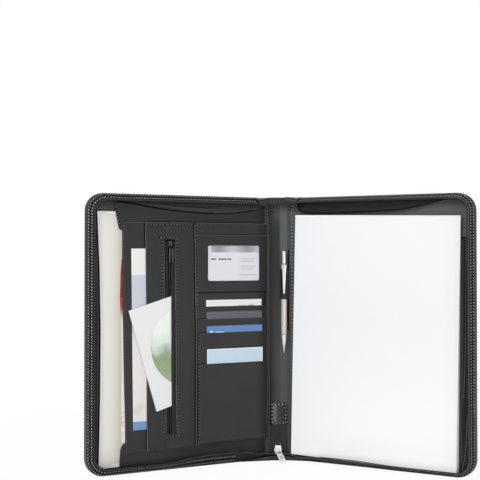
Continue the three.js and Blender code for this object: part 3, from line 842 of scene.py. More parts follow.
def disc_print():
    finish = Finish("disc_print", 0.25, Coat_Weight=0.3)
    u, v, w = finish.cover()
    clouds = finish.noise(16, 3)
    drift = v + (clouds - 0.5) * 26
    sky = finish.mix(drift.soft(146, 170), ink(206, 222, 212), ink(226, 233, 225))
    middle = finish.mix(drift.soft(138, 150), ink(146, 166, 152), sky)
    ground = finish.mix(drift.soft(102, 132), ink(166, 168, 132), ink(132, 154, 112))
    print_colour = finish.mix(drift.soft(131, 143), ground, middle)
    blades = ((u * 0.5 + v * 0.22).math("SINE") * 0.5 + 0.5).soft(0.965, 0.995)
    streaks = blades * finish.noise(22, 1).soft(0.5, 0.6) * 0.7
    finish.set("Base Color", finish.mix(streaks, print_colour, ink(222, 228, 214)))
    return finish.material


LEAFLET_PRINT = leaflet_print()
BROCHURE_PRINT = brochure_print()
DISC_PRINT = disc_print()


# %% [markdown]
# Cards are glossy stock with short plain bars as their print. A bar is a product of comparisons, and
# the bars of one colour are joined by their maximum.


# %% Card stock, plain or with bars
def bars(u, v, rows):
    """A mask of short bars, each given as its u range and v range."""
    mask = None
    for u_low, u_high, v_low, v_high in rows:
        bar = u.within(u_low, u_high) * v.within(v_low, v_high)
        mask = bar if mask is None else mask.math("MAXIMUM", bar)
    return mask


def identity_print():
    finish = paper("identity_print", ink(229, 228, 233), roughness=0.45)
    u, v, w = finish.cover()
    card = finish.mix(finish.noise(40, 1), ink(218, 216, 221), ink(222, 221, 225))
    strip = finish.mix((u * 0.16).math("SINE") * 0.5 + 0.5, ink(150, 146, 149), ink(196, 194, 196))
    header = v.within(258.4, 266.4) * (u < 79)
    name_row = [(51, 57, 249.3, 250.9), (58, 69, 249.3, 250.9), (72, 79, 249.3, 250.9)]
    address = [(18, 39, 249.6, 250.4), (20, 39, 246.8, 247.6), (18, 39, 240.8, 241.6),
               (20, 39, 237.6, 238.4), (16, 40, 230.4, 231.2)]
    printed = finish.mix(bars(u, v, name_row), card, ink(92, 92, 96))
    printed = finish.mix(bars(u, v, address), printed, ink(172, 172, 178))
    finish.set("Base Color", finish.mix(header, printed, strip))
    return finish.material


CARD_LEFT, CARD_RIGHT = 9.3, 85.3
CARD_HEIGHT = 50.0
PALE_TOP = 141.1
PALE_RIM = 1.1


def card_stock(name, colour, marks=(), mark_colour=None, rim=None):
    finish = Finish(name, 0.35, Coat_Weight=0.2)
    u, v, w = finish.cover()
    body = finish.mix(finish.noise(20, 1), colour, tinted(colour, 0.93))
    if marks:
        body = finish.mix(bars(u, v, marks), body, mark_colour)
    if rim:
        sides = u.within(CARD_LEFT + PALE_RIM, CARD_RIGHT - PALE_RIM)
        body = finish.mix(sides * v.within(0, PALE_TOP - PALE_RIM), rim, body)
    finish.set("Base Color", body)
    return finish.material


IDENTITY_PRINT = identity_print()
CARD_FINISHES = [
    card_stock("card_white", ink(226, 226, 226), [(20, 28, 192.4, 193.8), (31, 42, 192.4, 193.3)],
               ink(176, 120, 128)),
    card_stock("card_violet", ink(86, 85, 97)),
    card_stock("card_blue", ink(90, 126, 186), [(77, 81, 161.2, 163.2), (62, 74, 160.7, 161.9)],
               ink(214, 224, 240)),
    card_stock("card_pale_blue", ink(188, 209, 224), rim=ink(228, 233, 236)),
]


def clear_film():
    finish = Finish("clear_film", 0.08, Transmission_Weight=1.0, IOR=1.1)
    finish.set("Base Color", (0.96, 0.97, 0.98, 1))
    finish.bump(finish.noise(30, 1), 0.05)
    return finish.material


CLEAR_FILM = clear_film()

# %% [markdown]
# Short calls dress a piece. A new piece takes its finish and rides on its body, and the plain solids
# that it stands for are hidden. A piece across a fold stays where it was built. A frame part keeps
# its shape and only gets a coat.


# %% Dress and coat
def finished(piece, material):
    piece.data.materials.clear()
    piece.data.materials.append(material)


def dress(piece, body, material, slot, *nodes):
    finished(piece, material)
    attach(piece, body)
    if nodes:
        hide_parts(*nodes)
    print(piece.name, "on", body, "has", len(piece.data.polygons), "faces")
    return piece


def cross_fold(piece, bodies, slot, start, end):
    """A piece across a fold, left where it was built; it bends with neither body, and start and end
    are not used.
    """
    tuple(start)
    tuple(end)
    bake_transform(piece)
    print(piece.name, "from", *bodies, "has", len(piece.data.polygons), "faces")
    return piece


def coat(material, *names):
    for name in names:
        node = frame["nodes"][name]
        if not node.material_slots:
            node.data.materials.append(material)
        for material_slot in node.material_slots:
            material_slot.material = material


coat(BACKING, "front_board", "back_board", "spine_board", "pad_backing")
coat(WHITE_PAPER, "pad_sheets", "pad_gum_strip")
print("coated the boards and the pad")

# %% [markdown]
# The camera comes first among the pieces, at the place and angle that were fitted to the pad's
# corners and the covers' edges. A long lens keeps the perspective as shallow as the photograph's.

# %% Camera
CAMERA_AT = Vector((-31.5, -1252.8, 253.2)) * MM
CAMERA_PITCH = math.radians(0.955)
CAMERA_YAW = math.radians(-0.733)
LENS = 74.67

bpy.ops.object.camera_add(location=CAMERA_AT)
camera = bpy.context.object
camera.rotation_euler = (math.pi / 2 + CAMERA_PITCH, 0, -CAMERA_YAW)
camera.data.lens = LENS
camera.data.sensor_width = 36
bpy.context.scene.camera = camera
print("camera with a lens of", LENS)


# %% [markdown]
# The lining is one cloth glued to each board. Its outline is square at the fold and round at the
# two outer corners, so each row of the grid ends where the corner's arc is at that height.

# %% Lining and outer skins
def cover_edge(v, inset):
    """How far out the cover reaches at a height, inside an inset."""
    beyond = max(CORNER - v, v - (HEIGHT - CORNER), 0)
    radius = CORNER - inset
    if beyond <= 0:
        return WIDTH - inset
    return WIDTH - CORNER + math.sqrt(max(radius * radius - beyond * beyond, 0))


SHEET_CELLS = (40, 64)


def cover_sheet(name, where, inset, u_start, face, thickness, lift=flat, outside=False,
                edge=0.3):
    def shape(s, t):
        v = HEIGHT / 2 - (HEIGHT / 2 - inset) * math.cos(math.pi * t)
        u = u_start + (cover_edge(v, inset) - u_start) * math.sin(math.pi * s / 2)
        return Vector((u, v, face + lift(u, v)))

    piece = grid(name, *SHEET_CELLS, shape)
    if outside:
        piece.data.flip_normals()
    thicken(piece, thickness, edge, 3)
    return place(piece, where)


# The back cover's lining takes the lighter copy of the cloth, painted light
for where, prefix in COVERS:
    lining = cover_sheet(f"{prefix}_lining_cloth", where, 2.2, 1.5, 0.0, 0.7)
    dress(lining, where, LINING if prefix == "front" else BACK_LINING_PAINTED_LIGHTER, "lining_cloth",
          f"{prefix}_lining")


def skin_swell(u, v):
    """Foam under the skin: a soft crown that falls away to the stitched hem."""
    near = min(WIDTH - u, v, HEIGHT - v, 60)
    return -0.9 * ease(near / 14)


back_skin = cover_sheet("back_outer_skin", "back_cover", 0.0, 7.0, TOP_OF_SHELL, 1.1, skin_swell,
                        True, edge=0.5)
dress(back_skin, "back_cover", OUTSIDE, "leatherette", "back_skin")

# %% [markdown]
# The rim is made of three parts all the way round: the turned edge of the skin, a woven tape that
# leans inwards, and the zip's coil along the tape. All three follow the same outline, which is
# given as stations with an inward direction, so each is a small section carried along it.


# %% Stations round the rim
CORNER_STEPS = 12
SECTION_STEP = 6.0
ROW_STEP = 4.0


def rim_line(u_bottom, u_top, step):
    """(u, v) and the inward direction, from the foot round the outer edge to the top."""
    right = WIDTH - CORNER
    found = []

    def straight(a, b, inward, skip_first=1, skip_last=0):
        count = max(1, round(math.dist(a, b) / step))
        for k in range(skip_first, count + 1 - skip_last):
            found.append((Vector(a).lerp(Vector(b), k / count), Vector(inward)))

    def corner(centre_v, start, skip_first):
        for k in range(skip_first, CORNER_STEPS + 1):
            angle = math.radians(start + 90 * k / CORNER_STEPS)
            outward = Vector((math.cos(angle), math.sin(angle)))
            found.append((Vector((right, centre_v)) + outward * CORNER, -outward))

    straight((u_bottom, 0), (right, 0), (0, 1), skip_first=0)
    corner(CORNER, -90, 1)
    straight((WIDTH, CORNER), (WIDTH, HEIGHT - CORNER), (-1, 0), skip_last=1)
    corner(HEIGHT - CORNER, 0, 0)
    straight((right, HEIGHT), (u_top, HEIGHT), (0, -1))
    return found


# %% Lean of the tape
TAPE_FOOT = 3.4
TAPE_REACH = 8.9
LEAN = {
    "front_cover": {"side": 1.8, "top": 3.3, "foot": 3.8, "slack": 4.9},
    "back_cover": {"side": 0.2, "top": 1.7, "foot": 0.4, "slack": 2.0},
}


def lean_at(where, at, inward):
    """How far the tape's free edge leans in at a place, on top of its plain section."""
    lean = LEAN[where]
    slack = lean["slack"] * ease((150 - at.x) / 70)
    across = lean["foot"] + slack if at.y < HEIGHT / 2 else lean["top"]
    return lean["side"] * abs(inward.x) + across * abs(inward.y)


def rim_points(where, u_bottom, u_top, inset, w):
    """A line that keeps one inset and one height all the way round the rim."""
    found = []
    for at, inward in rim_line(u_bottom, u_top, ROW_STEP):
        rise = max(w - TAPE_FOOT, 0) / TAPE_REACH
        found.append((*(at + inward * (inset + lean_at(where, at, inward) * rise)), w))
    return found


def rim_sweep(name, where, section, u_bottom, u_top, leaning=False):
    stations = []
    for at, inward in rim_line(u_bottom, u_top, SECTION_STEP):
        slope = lean_at(where, at, inward) / TAPE_REACH if leaning else 0
        foot = at - inward * slope * TAPE_FOOT
        stations.append((foot.to_3d(), inward.to_3d(), (inward * slope).to_3d() + Vector((0, 0, 1))))
    return place(sweep(name, stations, section), where)


# %% Turned edges and tapes
BAND_SECTION = [(1.9, -3.3), (0.5, -3.3), (0.1, -2.7), (-0.05, 0.5), (0.05, 3.2), (0.45, 3.9),
                (1.1, 4.05), (1.7, 3.8), (1.9, 3.1)]
TAPE_SECTION = [(0.7, 3.4), (1.0, 5.6), (2.0, 8.2), (3.3, 10.8), (3.9, 12.3), (4.6, 12.3),
                (4.1, 10.5), (2.8, 7.8), (1.8, 5.3), (1.4, 3.4)]
RIM_START = {"bottom": 46.0, "top": 17.0}

for where, prefix in COVERS:
    band = rim_sweep(f"{prefix}_turned_edge", where, BAND_SECTION, 1.5, 1.5)
    dress(band, where, RIM_EDGE, "leatherette", f"{prefix}_edge_band")
    tape = rim_sweep(f"{prefix}_rim_tape", where, TAPE_SECTION, RIM_START["bottom"],
                     RIM_START["top"], True)
    dress(tape, where, TAPE, "zip_tape", f"{prefix}_zip_tape")

# %% [markdown]
# One coil turn is a flattened ball. About 330 of them make each half of the zip. Under them runs a
# cord that the coil is sewn round. Six rows of thread follow the tape, bright ones on its ridges and
# darker ones between them, so each row is one line of a short list.

# %% Coil and rim thread
TOOTH = (1.3, 2.9, 2.3)
TOOTH_PITCH = 2.1

RIM_PITCH = 3.5
# Each row: how far in, how high, the size of a bar, the width of a hole, and the yarn
RIM_ROWS = [
    (0.8, 5.9, (2.2, 1.1, 1.0), 1.5, RIM_THREAD),
    (1.7, 8.2, (1.2, 0.8, 0.6), 2.0, DARK_THREAD),
    (2.7, 10.0, (2.3, 1.1, 1.0), 1.4, RIM_THREAD),
    (2.3, 6.2, (2.0, 1.0, 0.7), 1.6, DARK_THREAD),
    (3.3, 8.2, (1.4, 0.9, 0.6), 1.8, DARK_THREAD),
    (4.4, 10.2, (2.3, 1.1, 0.9), 1.5, RIM_THREAD),
]

for where, prefix in COVERS:
    def on_rim(inset, w):
        return rim_points(where, RIM_START["bottom"], RIM_START["top"], inset, w)

    coil = ball_row(f"{prefix}_zip_coil", where, on_rim(4.4, 13.6), TOOTH_PITCH, TOOTH, 8, 4)
    dress(coil, where, TEETH, "zip_teeth", f"{prefix}_zip_teeth")
    dress(bead(f"{prefix}_coil_cord", where, on_rim(3.4, 12.6), 0.75), where, TAPE, "zip_tape")
    # A near-black bead inside the coil is a painted shadow
    dress(bead(f"{prefix}_coil_shadow", where, on_rim(5.9, 12.7), 0.55), where, HOLE_AND_SHADE, "zip_tape")
    sewn(f"{prefix}_rim_thread", where, "zip_tape",
         *[seam(where, on_rim(inset, w), RIM_PITCH, size, hole_width, yarn)
           for inset, w, size, hole_width, yarn in RIM_ROWS])

# %% [markdown]
# The front cover's outside is sewn from three panels. Two arched seams hold a padded cloth panel
# between two leatherette panels. Each seam is a groove with the leatherette's edge turned over it,
# and rows of thread follow the arch.


# %% Arched seams
ARCH_STEPS = 40


def arch(foot, middle, top):
    """The circle's arc through three (u, v) points, from its foot to its top."""
    a, b, c = (Vector(p) for p in (foot, middle, top))
    d = 2 * (a.x * (b.y - c.y) + b.x * (c.y - a.y) + c.x * (a.y - b.y))
    x = (a.dot(a) * (b.y - c.y) + b.dot(b) * (c.y - a.y) + c.dot(c) * (a.y - b.y)) / d
    y = (a.dot(a) * (c.x - b.x) + b.dot(b) * (a.x - c.x) + c.dot(c) * (b.x - a.x)) / d
    centre = Vector((x, y))
    radius = (a - centre).length
    heights = [a.y + (c.y - a.y) * k / ARCH_STEPS for k in range(ARCH_STEPS + 1)]
    side = 1 if b.x > x else -1
    return [(x + side * math.sqrt(radius * radius - (v - y) ** 2), v) for v in heights]


# %% Leatherette on both sides of the cloth
HINGE_SEAM = arch((16.4, 0), (31.2, 170), (19.3, HEIGHT))
EDGE_SEAM = arch((140, 0), (180.4, 177), (151.3, HEIGHT))


def overlap_lift(s, t):
    """The leatherette rises over the cloth's edge and is thin at the hem."""
    return -0.7 * min(ease(t * 24), ease((1 - t) * 24))


def between(seam, reach):
    """A skin from a seam out to the cover's rounded free edge."""
    def shape(s, t):
        v = HEIGHT / 2 - HEIGHT / 2 * math.cos(math.pi * t)
        start = along(seam, v / HEIGHT)[0]
        u = start + (cover_edge(v, 0) - start) * math.sin(math.pi * s / 2)
        return Vector((u, v, TOP_OF_SHELL + reach(u - start, u, v)))

    return shape


def edge_panel_lift(from_seam, u, v):
    rolled = -0.9 * (1 - ease(abs(from_seam - 2.5) / 3.5)) if from_seam < 6 else 0
    return skin_swell(u, v) + rolled * min(ease(v / 12), ease((HEIGHT - v) / 12))


outer_panel = grid("front_outer_panel", 28, 64, between(EDGE_SEAM, edge_panel_lift))
outer_panel.data.flip_normals()
thicken(outer_panel, 1.1, 0.4, 3)
place(outer_panel, "front_cover")
dress(outer_panel, "front_cover", OUTSIDE, "leatherette", "front_skin_edge_panel")

spine_strip = leaf("front_spine_side_panel", "front_cover", [(7.0, 0), (7.0, HEIGHT)], HINGE_SEAM,
                   TOP_OF_SHELL, 1.1, overlap_lift, cells=(10, 48), edge=0.4, outside=True)
dress(spine_strip, "front_cover", OUTSIDE, "leatherette", "front_skin_hinge_panel")

# %% [markdown]
# The padded cloth is blown up against its own seams, as a foam sheet would push it. Blender's Cloth
# does that: the border is pinned, pressure pushes outwards for a few frames and gravity is off. The
# travel is capped, so that the crown stays shallow.

# %% Padded cloth panel
CROWN_CAP = 2.4 * MM
PAD_FRAMES = 18


def inflate(piece, pressure):
    border = piece.vertex_groups.new(name="sewn")
    uses = {}
    for face in piece.data.polygons:
        for key in face.edge_keys:
            uses[key] = uses.get(key, 0) + 1
    rim = sorted({v for key, count in uses.items() if count == 1 for v in key})
    border.add(rim, 1.0, "REPLACE")
    start = [v.co.copy() for v in piece.data.vertices]
    cloth = piece.modifiers.new("inflate", "CLOTH")
    cloth.settings.vertex_group_mass = "sewn"
    cloth.settings.use_pressure = True
    cloth.settings.uniform_pressure_force = pressure
    cloth.settings.tension_stiffness = 8
    cloth.settings.compression_stiffness = 8
    cloth.settings.effector_weights.gravity = 0
    cloth.point_cache.frame_end = PAD_FRAMES
    scene = bpy.context.scene
    for number in range(1, PAD_FRAMES + 1):
        scene.frame_set(number)
    apply_all(piece)
    scene.frame_set(1)
    most = 0.0
    for vertex, rest in zip(piece.data.vertices, start):
        travel = vertex.co - rest
        if travel.length > CROWN_CAP:
            travel = travel.normalized() * CROWN_CAP
        vertex.co = rest + travel
        most = max(most, travel.length)
    return most / MM


def cloth_crown(s, t):
    return -0.4 - 1.5 * min(ease(s * 9), ease((1 - s) * 9), ease(t * 16), ease((1 - t) * 16))


cloth = leaf("front_padded_panel", "front_cover", shifted(HINGE_SEAM, 0.2),
             shifted(EDGE_SEAM, -0.2), TOP_OF_SHELL + 0.5, 0, cloth_crown, cells=(36, 72),
             outside=True)
print("the padded cloth rose by", inflate(cloth, 3.0), "mm")
thicken(cloth, 1.0 * MM, 0.2 * MM)
dress(cloth, "front_cover", PADDED, "padded_cloth", "front_skin_cloth_panel")

# %% [markdown]
# Two rows of thread follow the free edge's arch and one follows the other, and a hem runs round both
# covers. Out here the thread is nearly as dark as the skin, so it has its own yarn and softer holes.


# %% Outside thread
def outer_seam(where, points):
    return seam(where, points, hole_width=1.3, yarn=OUTER_THREAD, hole=SOFT_HOLE)


def arched_row(line, height):
    """A row along an arch that stops short of the cover's foot and top."""
    on_skin = [(u, v) for u, v in line if 3 < v < HEIGHT - 5]
    return outer_seam("front_cover", raised(on_skin, TOP_OF_SHELL - height))


for where, prefix in COVERS:
    rows = [
        arched_row(shifted(EDGE_SEAM, 1.6), 1.85),
        arched_row(shifted(EDGE_SEAM, 4.2), 1.75),
        arched_row(shifted(HINGE_SEAM, -1.5), 0.75),
    ] if prefix == "front" else []
    rows.append(outer_seam(where, rim_points(where, 8, 8, 2.6, TOP_OF_SHELL - 0.3)))
    sewn(f"{prefix}_outside_thread", where, "leatherette", *rows)

# %% [markdown]
# The skin runs on across both folds and over the spine. The covers and the spine are separate
# bodies, and a strip crosses each fold as the real skin does. Its line is straight on the cover,
# turns round the fold, and is straight on the spine.


# %% Strips across the folds
FOLD_STEPS = 14


def fold_strip(name, where, w, reach, thickness, v_range, outside):
    """A strip from u = reach on a cover, round its fold, to the same reach on the spine."""
    side = SIDES[where]
    cover, spine = PLACES[where], PLACES["spine"]
    fold = Vector((side * HALF_SPINE * MM, 0))
    over_spine = Vector((0, -w * MM))
    shares = (1, 0.5, 0) if outside else (1, 0.6, 0.25)
    line = [(cover @ Vector((reach * share, 0, w))).xy for share in shares]
    if outside:
        over_cover = line[-1] - fold
        line += [fold + over_cover.slerp(over_spine, k / FOLD_STEPS) * over_cover.length
                 for k in range(1, FOLD_STEPS)]
    line.append(fold + over_spine)
    line += [(spine @ Vector((side * (HALF_SPINE - reach * share), 0, w))).xy
             for share in (0.4, 1)]
    last = len(line) - 1

    def shape(s, t):
        at = line[round(s * last)]
        v = v_range[0] + (v_range[1] - v_range[0]) * t
        return Vector((at.x, at.y, v * MM))

    piece = grid(name, last, 40, shape)
    if (side > 0) != outside:
        piece.data.flip_normals()
    thicken(piece, thickness * MM, 0.2 * MM)
    finished(piece, OUTSIDE if outside else LINING)
    return cross_fold(piece, (where, "spine"), "leatherette" if outside else "lining_cloth",
                      cover @ Vector((reach * 0.8, 0, w)),
                      spine @ Vector((side * (HALF_SPINE - reach * 0.8), 0, w)))


for where, prefix in COVERS:
    fold_strip(f"{prefix}_outer_fold", where, TOP_OF_SHELL, 7.2, 1.1, (0.2, HEIGHT - 0.2), True)
    fold_strip(f"{prefix}_inner_fold", where, 0.22, 4.0, 0.5, (1.8, HEIGHT - 1.8), False)

spine_skin = leaf("spine_outer_skin", "spine", [(-9, 0), (-9, HEIGHT)], [(9, 0), (9, HEIGHT)],
                  TOP_OF_SHELL, 1.1, lambda s, t: -0.5 * math.sin(math.pi * s), cells=(16, 40),
                  edge=0.4, outside=True)
dress(spine_skin, "spine", OUTSIDE, "leatherette", "spine_skin")

# %% [markdown]
# Inside, the spine is lined with a satin-coated cloth. It carries the pen in its loop, the end of
# the zip under a stitched patch, and the main slider.

# %% Spine lining and bands
lining = leaf("spine_satin_lining", "spine", [(-14.4, 1.5), (-14.4, HEIGHT - 1.5)],
              [(14.4, 1.5), (14.4, HEIGHT - 1.5)], 0.0, 0.7,
              lambda s, t: 0.2 * math.sin(math.pi * s) + 0.05 * math.sin(19 * t + 5 * s),
              cells=(18, 60))
dress(lining, "spine", SPINE_SATIN, "lining_cloth", "spine_lining")

BAND_HALF = 9.6
BAND_STATIONS = 13


def spine_band(name, section, node):
    """A band across the spine with its section given as (w, v) points."""
    stations = []
    for k in range(BAND_STATIONS):
        u = BAND_HALF * (2 * k / (BAND_STATIONS - 1) - 1)
        stations.append((Vector((u, 0, 0)), Vector((0, 0, 1)), Vector((0, 1, 0))))
    piece = place(sweep(name, stations, section), "spine")
    return dress(piece, "spine", EDGE, "gusset_cloth", node)


TOP_BAND = [(-3.1, HEIGHT - 0.1), (4, HEIGHT), (11.3, HEIGHT - 0.1), (12, HEIGHT - 0.8),
            (12, HEIGHT - 8.6), (11.4, HEIGHT - 9.2), (10.9, HEIGHT - 8.6), (10.9, HEIGHT - 2),
            (10.4, HEIGHT - 1.3), (-3.1, HEIGHT - 1.2)]
FOOT_BAND = [(-3.1, 0), (11.4, 0), (12, 0.5), (12, 4.9), (11.5, 5.4), (10.9, 4.9), (10.9, 1.8),
             (10.4, 1.2), (-3.1, 1.2)]
spine_band("spine_top_rim", TOP_BAND, "spine_top_band")
spine_band("spine_foot_rim", FOOT_BAND, "spine_foot_band")

# %% [markdown]
# Between the spine's bands and the covers' rims the real cloth bends at every opening. A bridge is a
# grid between two smooth rails, one on each body, and it runs from the one to the other.


# %% Bridges from the rims to the spine's bands
def bridge(name, where, spine_rail, cover_rail):
    """A cloth bridge from the spine's band to the start of a cover's rim."""
    side = SIDES[where]
    from_spine = [PLACES["spine"] @ Vector((side * u, v, w)) for u, v, w in spine_rail]
    to_cover = [PLACES[where] @ Vector(p) for p in cover_rail]
    a = curved(from_spine, 1.5 * MM)
    b = curved(to_cover, 1.5 * MM)
    piece = grid(name, 14, 14, lambda s, t: pick(a, t).lerp(pick(b, t), s))
    thicken(piece, 0.7 * MM, 0.15 * MM)
    finished(piece, EDGE)
    return cross_fold(piece, ("spine", where), "gusset_cloth", from_spine[1], to_cover[1])


TOP_SPINE_RAIL = [(9.2, HEIGHT - 0.3, -2.9), (9.2, HEIGHT - 0.3, 11.4), (9.2, HEIGHT - 8.9, 11.6)]
FOOT_SPINE_RAIL = [(9.2, 0.3, -2.9), (9.2, 0.3, 11.4), (9.2, 5.1, 11.6)]
FOOT_COVER_RAIL = [(20, 0.3, -2.9), (34, 0.5, 3.6), (38, 1.6, 5.4)]
for where, prefix in COVERS:
    lean = LEAN[where]["top"]
    top_cover_rail = [(15, HEIGHT - 0.2, -2.9), (15.6, HEIGHT - 0.4, 4.2),
                      (16, HEIGHT - 2.6 - lean, 13.4), (16, HEIGHT - 7.4 - lean, 12.8)]
    bridge(f"{prefix}_top_bridge", where, TOP_SPINE_RAIL, top_cover_rail)
    bridge(f"{prefix}_foot_bridge", where, FOOT_SPINE_RAIL, FOOT_COVER_RAIL)
sewn("top_band_thread", "spine", "gusset_cloth",
     *[seam("spine", [(-9.4, HEIGHT - down, 12.1), (9.4, HEIGHT - down, 12.1)], RIM_PITCH,
            hole_width=1.4, yarn=DARK_THREAD) for down in (1.9, 5.6)])

# %% [markdown]
# At the foot the two halves of the zip leave the covers' rims, turn up on the spine and meet in the
# slider. Above it the closed zip goes on as a short tail, which ends under the patch.


# %% Zip tapes into the slider
def zip_run(where, prefix):
    side = SIDES[where]

    def rail(cover_points, spine_points):
        world = [PLACES[where] @ Vector(p) for p in cover_points]
        world += [PLACES["spine"] @ Vector((side * u, v, w)) for u, v, w in spine_points]
        return curved(world, 2 * MM)

    rise = lean_at(where, Vector((46, 0)), Vector((0, 1)))
    foot = rail([(46, 1.1, 4.2), (30, 1.1, 4.4), (14, 1.1, 4.8)],
                [(12.5, 1.9, 4.6), (8.2, 5.0, 3.0), (6.4, 11, 1.6), (6.3, 18.5, 1.2)])
    head = rail([(46, 4.3 + rise, 12.6), (32, 4.0 + rise, 12.4), (18, 4.2 + rise * 0.6, 11.6)],
                [(12.6, 8.4, 9.8), (6.4, 6.4, 6.6), (3.4, 7.6, 3.6), (2.2, 18.5, 1.7)])
    tape = grid(f"{prefix}_tape_end", 4, 60, lambda s, t: pick(foot, t).lerp(pick(head, t), s))
    thicken(tape, 0.7 * MM, 0.15 * MM)
    finished(tape, TAPE)
    teeth = ball_row(f"{prefix}_coil_end", None, head, TOOTH_PITCH * MM,
                     tuple(x * MM * 0.9 for x in TOOTH), 8, 4)
    finished(teeth, TEETH)
    middle = [pick(foot, k / 40).lerp(pick(head, k / 40), 0.8) for k in range(41)]
    size = tuple(x * MM for x in (2.2, 1.0, 1.4))
    rows = join(f"{prefix}_tape_end_thread",
                seam(None, middle, RIM_PITCH * MM, size, 1.4, THREAD, MM))
    for piece, slot in ((tape, "zip_tape"), (rows, "zip_tape"), (teeth, "zip_teeth")):
        cross_fold(piece, (where, "spine"), slot, PLACES[where] @ Vector((16, 4, 8)),
                   PLACES["spine"] @ Vector((side * 9, 4, 6)))


for where, prefix in COVERS:
    zip_run(where, prefix)

# %% [markdown]
# Above the slider the tail is one flat tape with its coil in the middle. The patch over its end is
# leatherette with one edge swollen by the zip under it, so its sheet is lifted by a formula.

# %% Tail of the zip
TAIL_TOP = 43.0
TAIL_LEFT = [(-14.3, 7.0), (-11.6, 12), (-10.3, 17.5), (-10.6, 28), (-9.5, TAIL_TOP - 0.3)]
TAIL_RIGHT = [(13.9, 7.0), (13.4, 15), (13.1, 22), (12.6, TAIL_TOP - 0.3)]
tail = leaf("tail_tape", "spine", TAIL_LEFT, TAIL_RIGHT, 1.5, 0.8,
            lambda s, t: -0.5 * abs(2 * s - 1) ** 3, cells=(24, 30), edge=0.1)
dress(tail, "spine", TAIL_CLOTH, "zip_tape", "zip_tail")
# The tail's edges are beads of the light finish, painted highlights
tail_edges = [bead("edge", "spine", evenly([(u, v, 0.95) for u, v in line], 3), 0.35)
              for line in (TAIL_LEFT, TAIL_RIGHT)]
dress(join("tail_edges", tail_edges), "spine", PAINTED_HIGHLIGHT_EDGE, "zip_tape")
tail_rows = [
    ball_row("coil", "spine", [(0.9 * k, 18.2, 2.2), (0.9 * k, TAIL_TOP, 2.2)], 1.3,
             (0.85, 2.2, 1.3), 8, 4)
    for k in (-1, 1)
]
dress(join("tail_coil", tail_rows), "spine", TEETH, "zip_teeth")

# %% Patch over the zip's end
PATCH_LEFT, PATCH_RIGHT = -9.1, 11.9
PATCH_LOW, PATCH_HIGH = 43.0, 70.0
PATCH_THREAD_INSET = 1.9


def patch_lift(s, t):
    rim = min(ease(s * 7), ease((1 - s) * 7), ease(t * 9), ease((1 - t) * 9))
    return 0.35 * rim + 1.3 * ease(1 - abs(2 * s - 0.86) * 1.25)


patch = leaf("zip_end_cover", "spine", [(PATCH_LEFT, PATCH_LOW), (PATCH_LEFT, PATCH_HIGH)],
             [(PATCH_RIGHT, PATCH_LOW), (PATCH_RIGHT, PATCH_HIGH)], 1.35, 1.0, patch_lift,
             cells=(36, 30))
dress(patch, "spine", patch_gloss(), "leatherette", "zip_end_patch")


def on_patch(u, v):
    s = (u - PATCH_LEFT) / (PATCH_RIGHT - PATCH_LEFT)
    t = (v - PATCH_LOW) / (PATCH_HIGH - PATCH_LOW)
    return (u, v, 1.45 + patch_lift(s, t))


# The thread runs round the patch just inside its edge
left, right = PATCH_LEFT + PATCH_THREAD_INSET, PATCH_RIGHT - PATCH_THREAD_INSET
low, high = PATCH_LOW + PATCH_THREAD_INSET, PATCH_HIGH - PATCH_THREAD_INSET
corners = [(left, low, 0), (right, low, 0), (right, high, 0), (left, high, 0), (left, low, 0)]
patch_line = [on_patch(at.x, at.y) for at in evenly(corners, 1.2)]
sewn("patch_thread", "spine", "leatherette",
     seam("spine", patch_line, 4.4, (2.2, 1.2, 0.9), 2.4, RIM_THREAD))

# %% [markdown]
# The slider and its pull are cast metal. The frame's faceted parts are copied and their edges are
# rounded, and dark and bright lines on the pull follow its slanted face.

# %% Slider and pull
dress(refined("main_slider", "chrome_slider", 0.45), "main_slider", NICKEL, "bright_metal",
      "main_slider")
dress(refined("main_pull", "chrome_pull", 0.35), "main_pull", NICKEL, "bright_metal", "main_pull")
PULL_FACE = (Matrix.Translation((0, -6 * MM, 10.6 * MM)) @ Matrix.Rotation(math.radians(15), 4, "Z")
             @ Matrix.Rotation(math.radians(20.5), 4, "X") @ Matrix.Scale(MM, 4))


def on_pull(name, points, radius):
    points = [PULL_FACE @ Vector((x, y, 0.62)) for x, y in points]
    return sweep(name, path_stations(points), ring(radius * MM, 6, 0.5))


eye = [(2.0 * math.sin(math.radians(a)), -3.6 - 2.0 * math.cos(math.radians(a)))
       for a in range(-80, 81, 20)]
dress(on_pull("pull_eye_shadow", eye, 0.75), "main_pull", HOLE_AND_SHADE, "bright_metal")
lozenge = [on_pull("lozenge", points, 0.32) for points in (
    [(0, -12.6), (2.0, -16.2), (0, -19.8)], [(0, -12.6), (-2.0, -16.2), (0, -19.8)],
    [(-0.9, -16.2), (0.9, -16.2)])]
dress(join("pull_lozenge", lozenge), "main_pull", DULL_NICKEL, "bright_metal")

# %% [markdown]
# The pen is turned work: a profile of radius and height is swept round the pen's axis. Fine grooves
# and rings are points of the profile. The clip is a bent strip with a rounded edge.


# %% Pen
TURNED_SIDES = 40


def turned(name, profile, at):
    """A profile of (radius, height) swept round an upright axis."""
    rows = len(profile) - 1

    def shape(s, t):
        radius, height = profile[round(t * rows)]
        angle = 2 * math.pi * round(s * TURNED_SIDES) / TURNED_SIDES
        return Vector((at[0] + radius * math.cos(angle), height, at[1] + radius * math.sin(angle)))

    piece = close(grid(name, TURNED_SIDES, rows, shape))
    smooth(piece, 30)
    return place(piece, "spine")


barrel_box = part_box("pen_barrel")
PEN_AT = ((barrel_box[0].x + barrel_box[1].x) / 2 / MM, -(barrel_box[0].y + barrel_box[1].y) / 2 / MM)

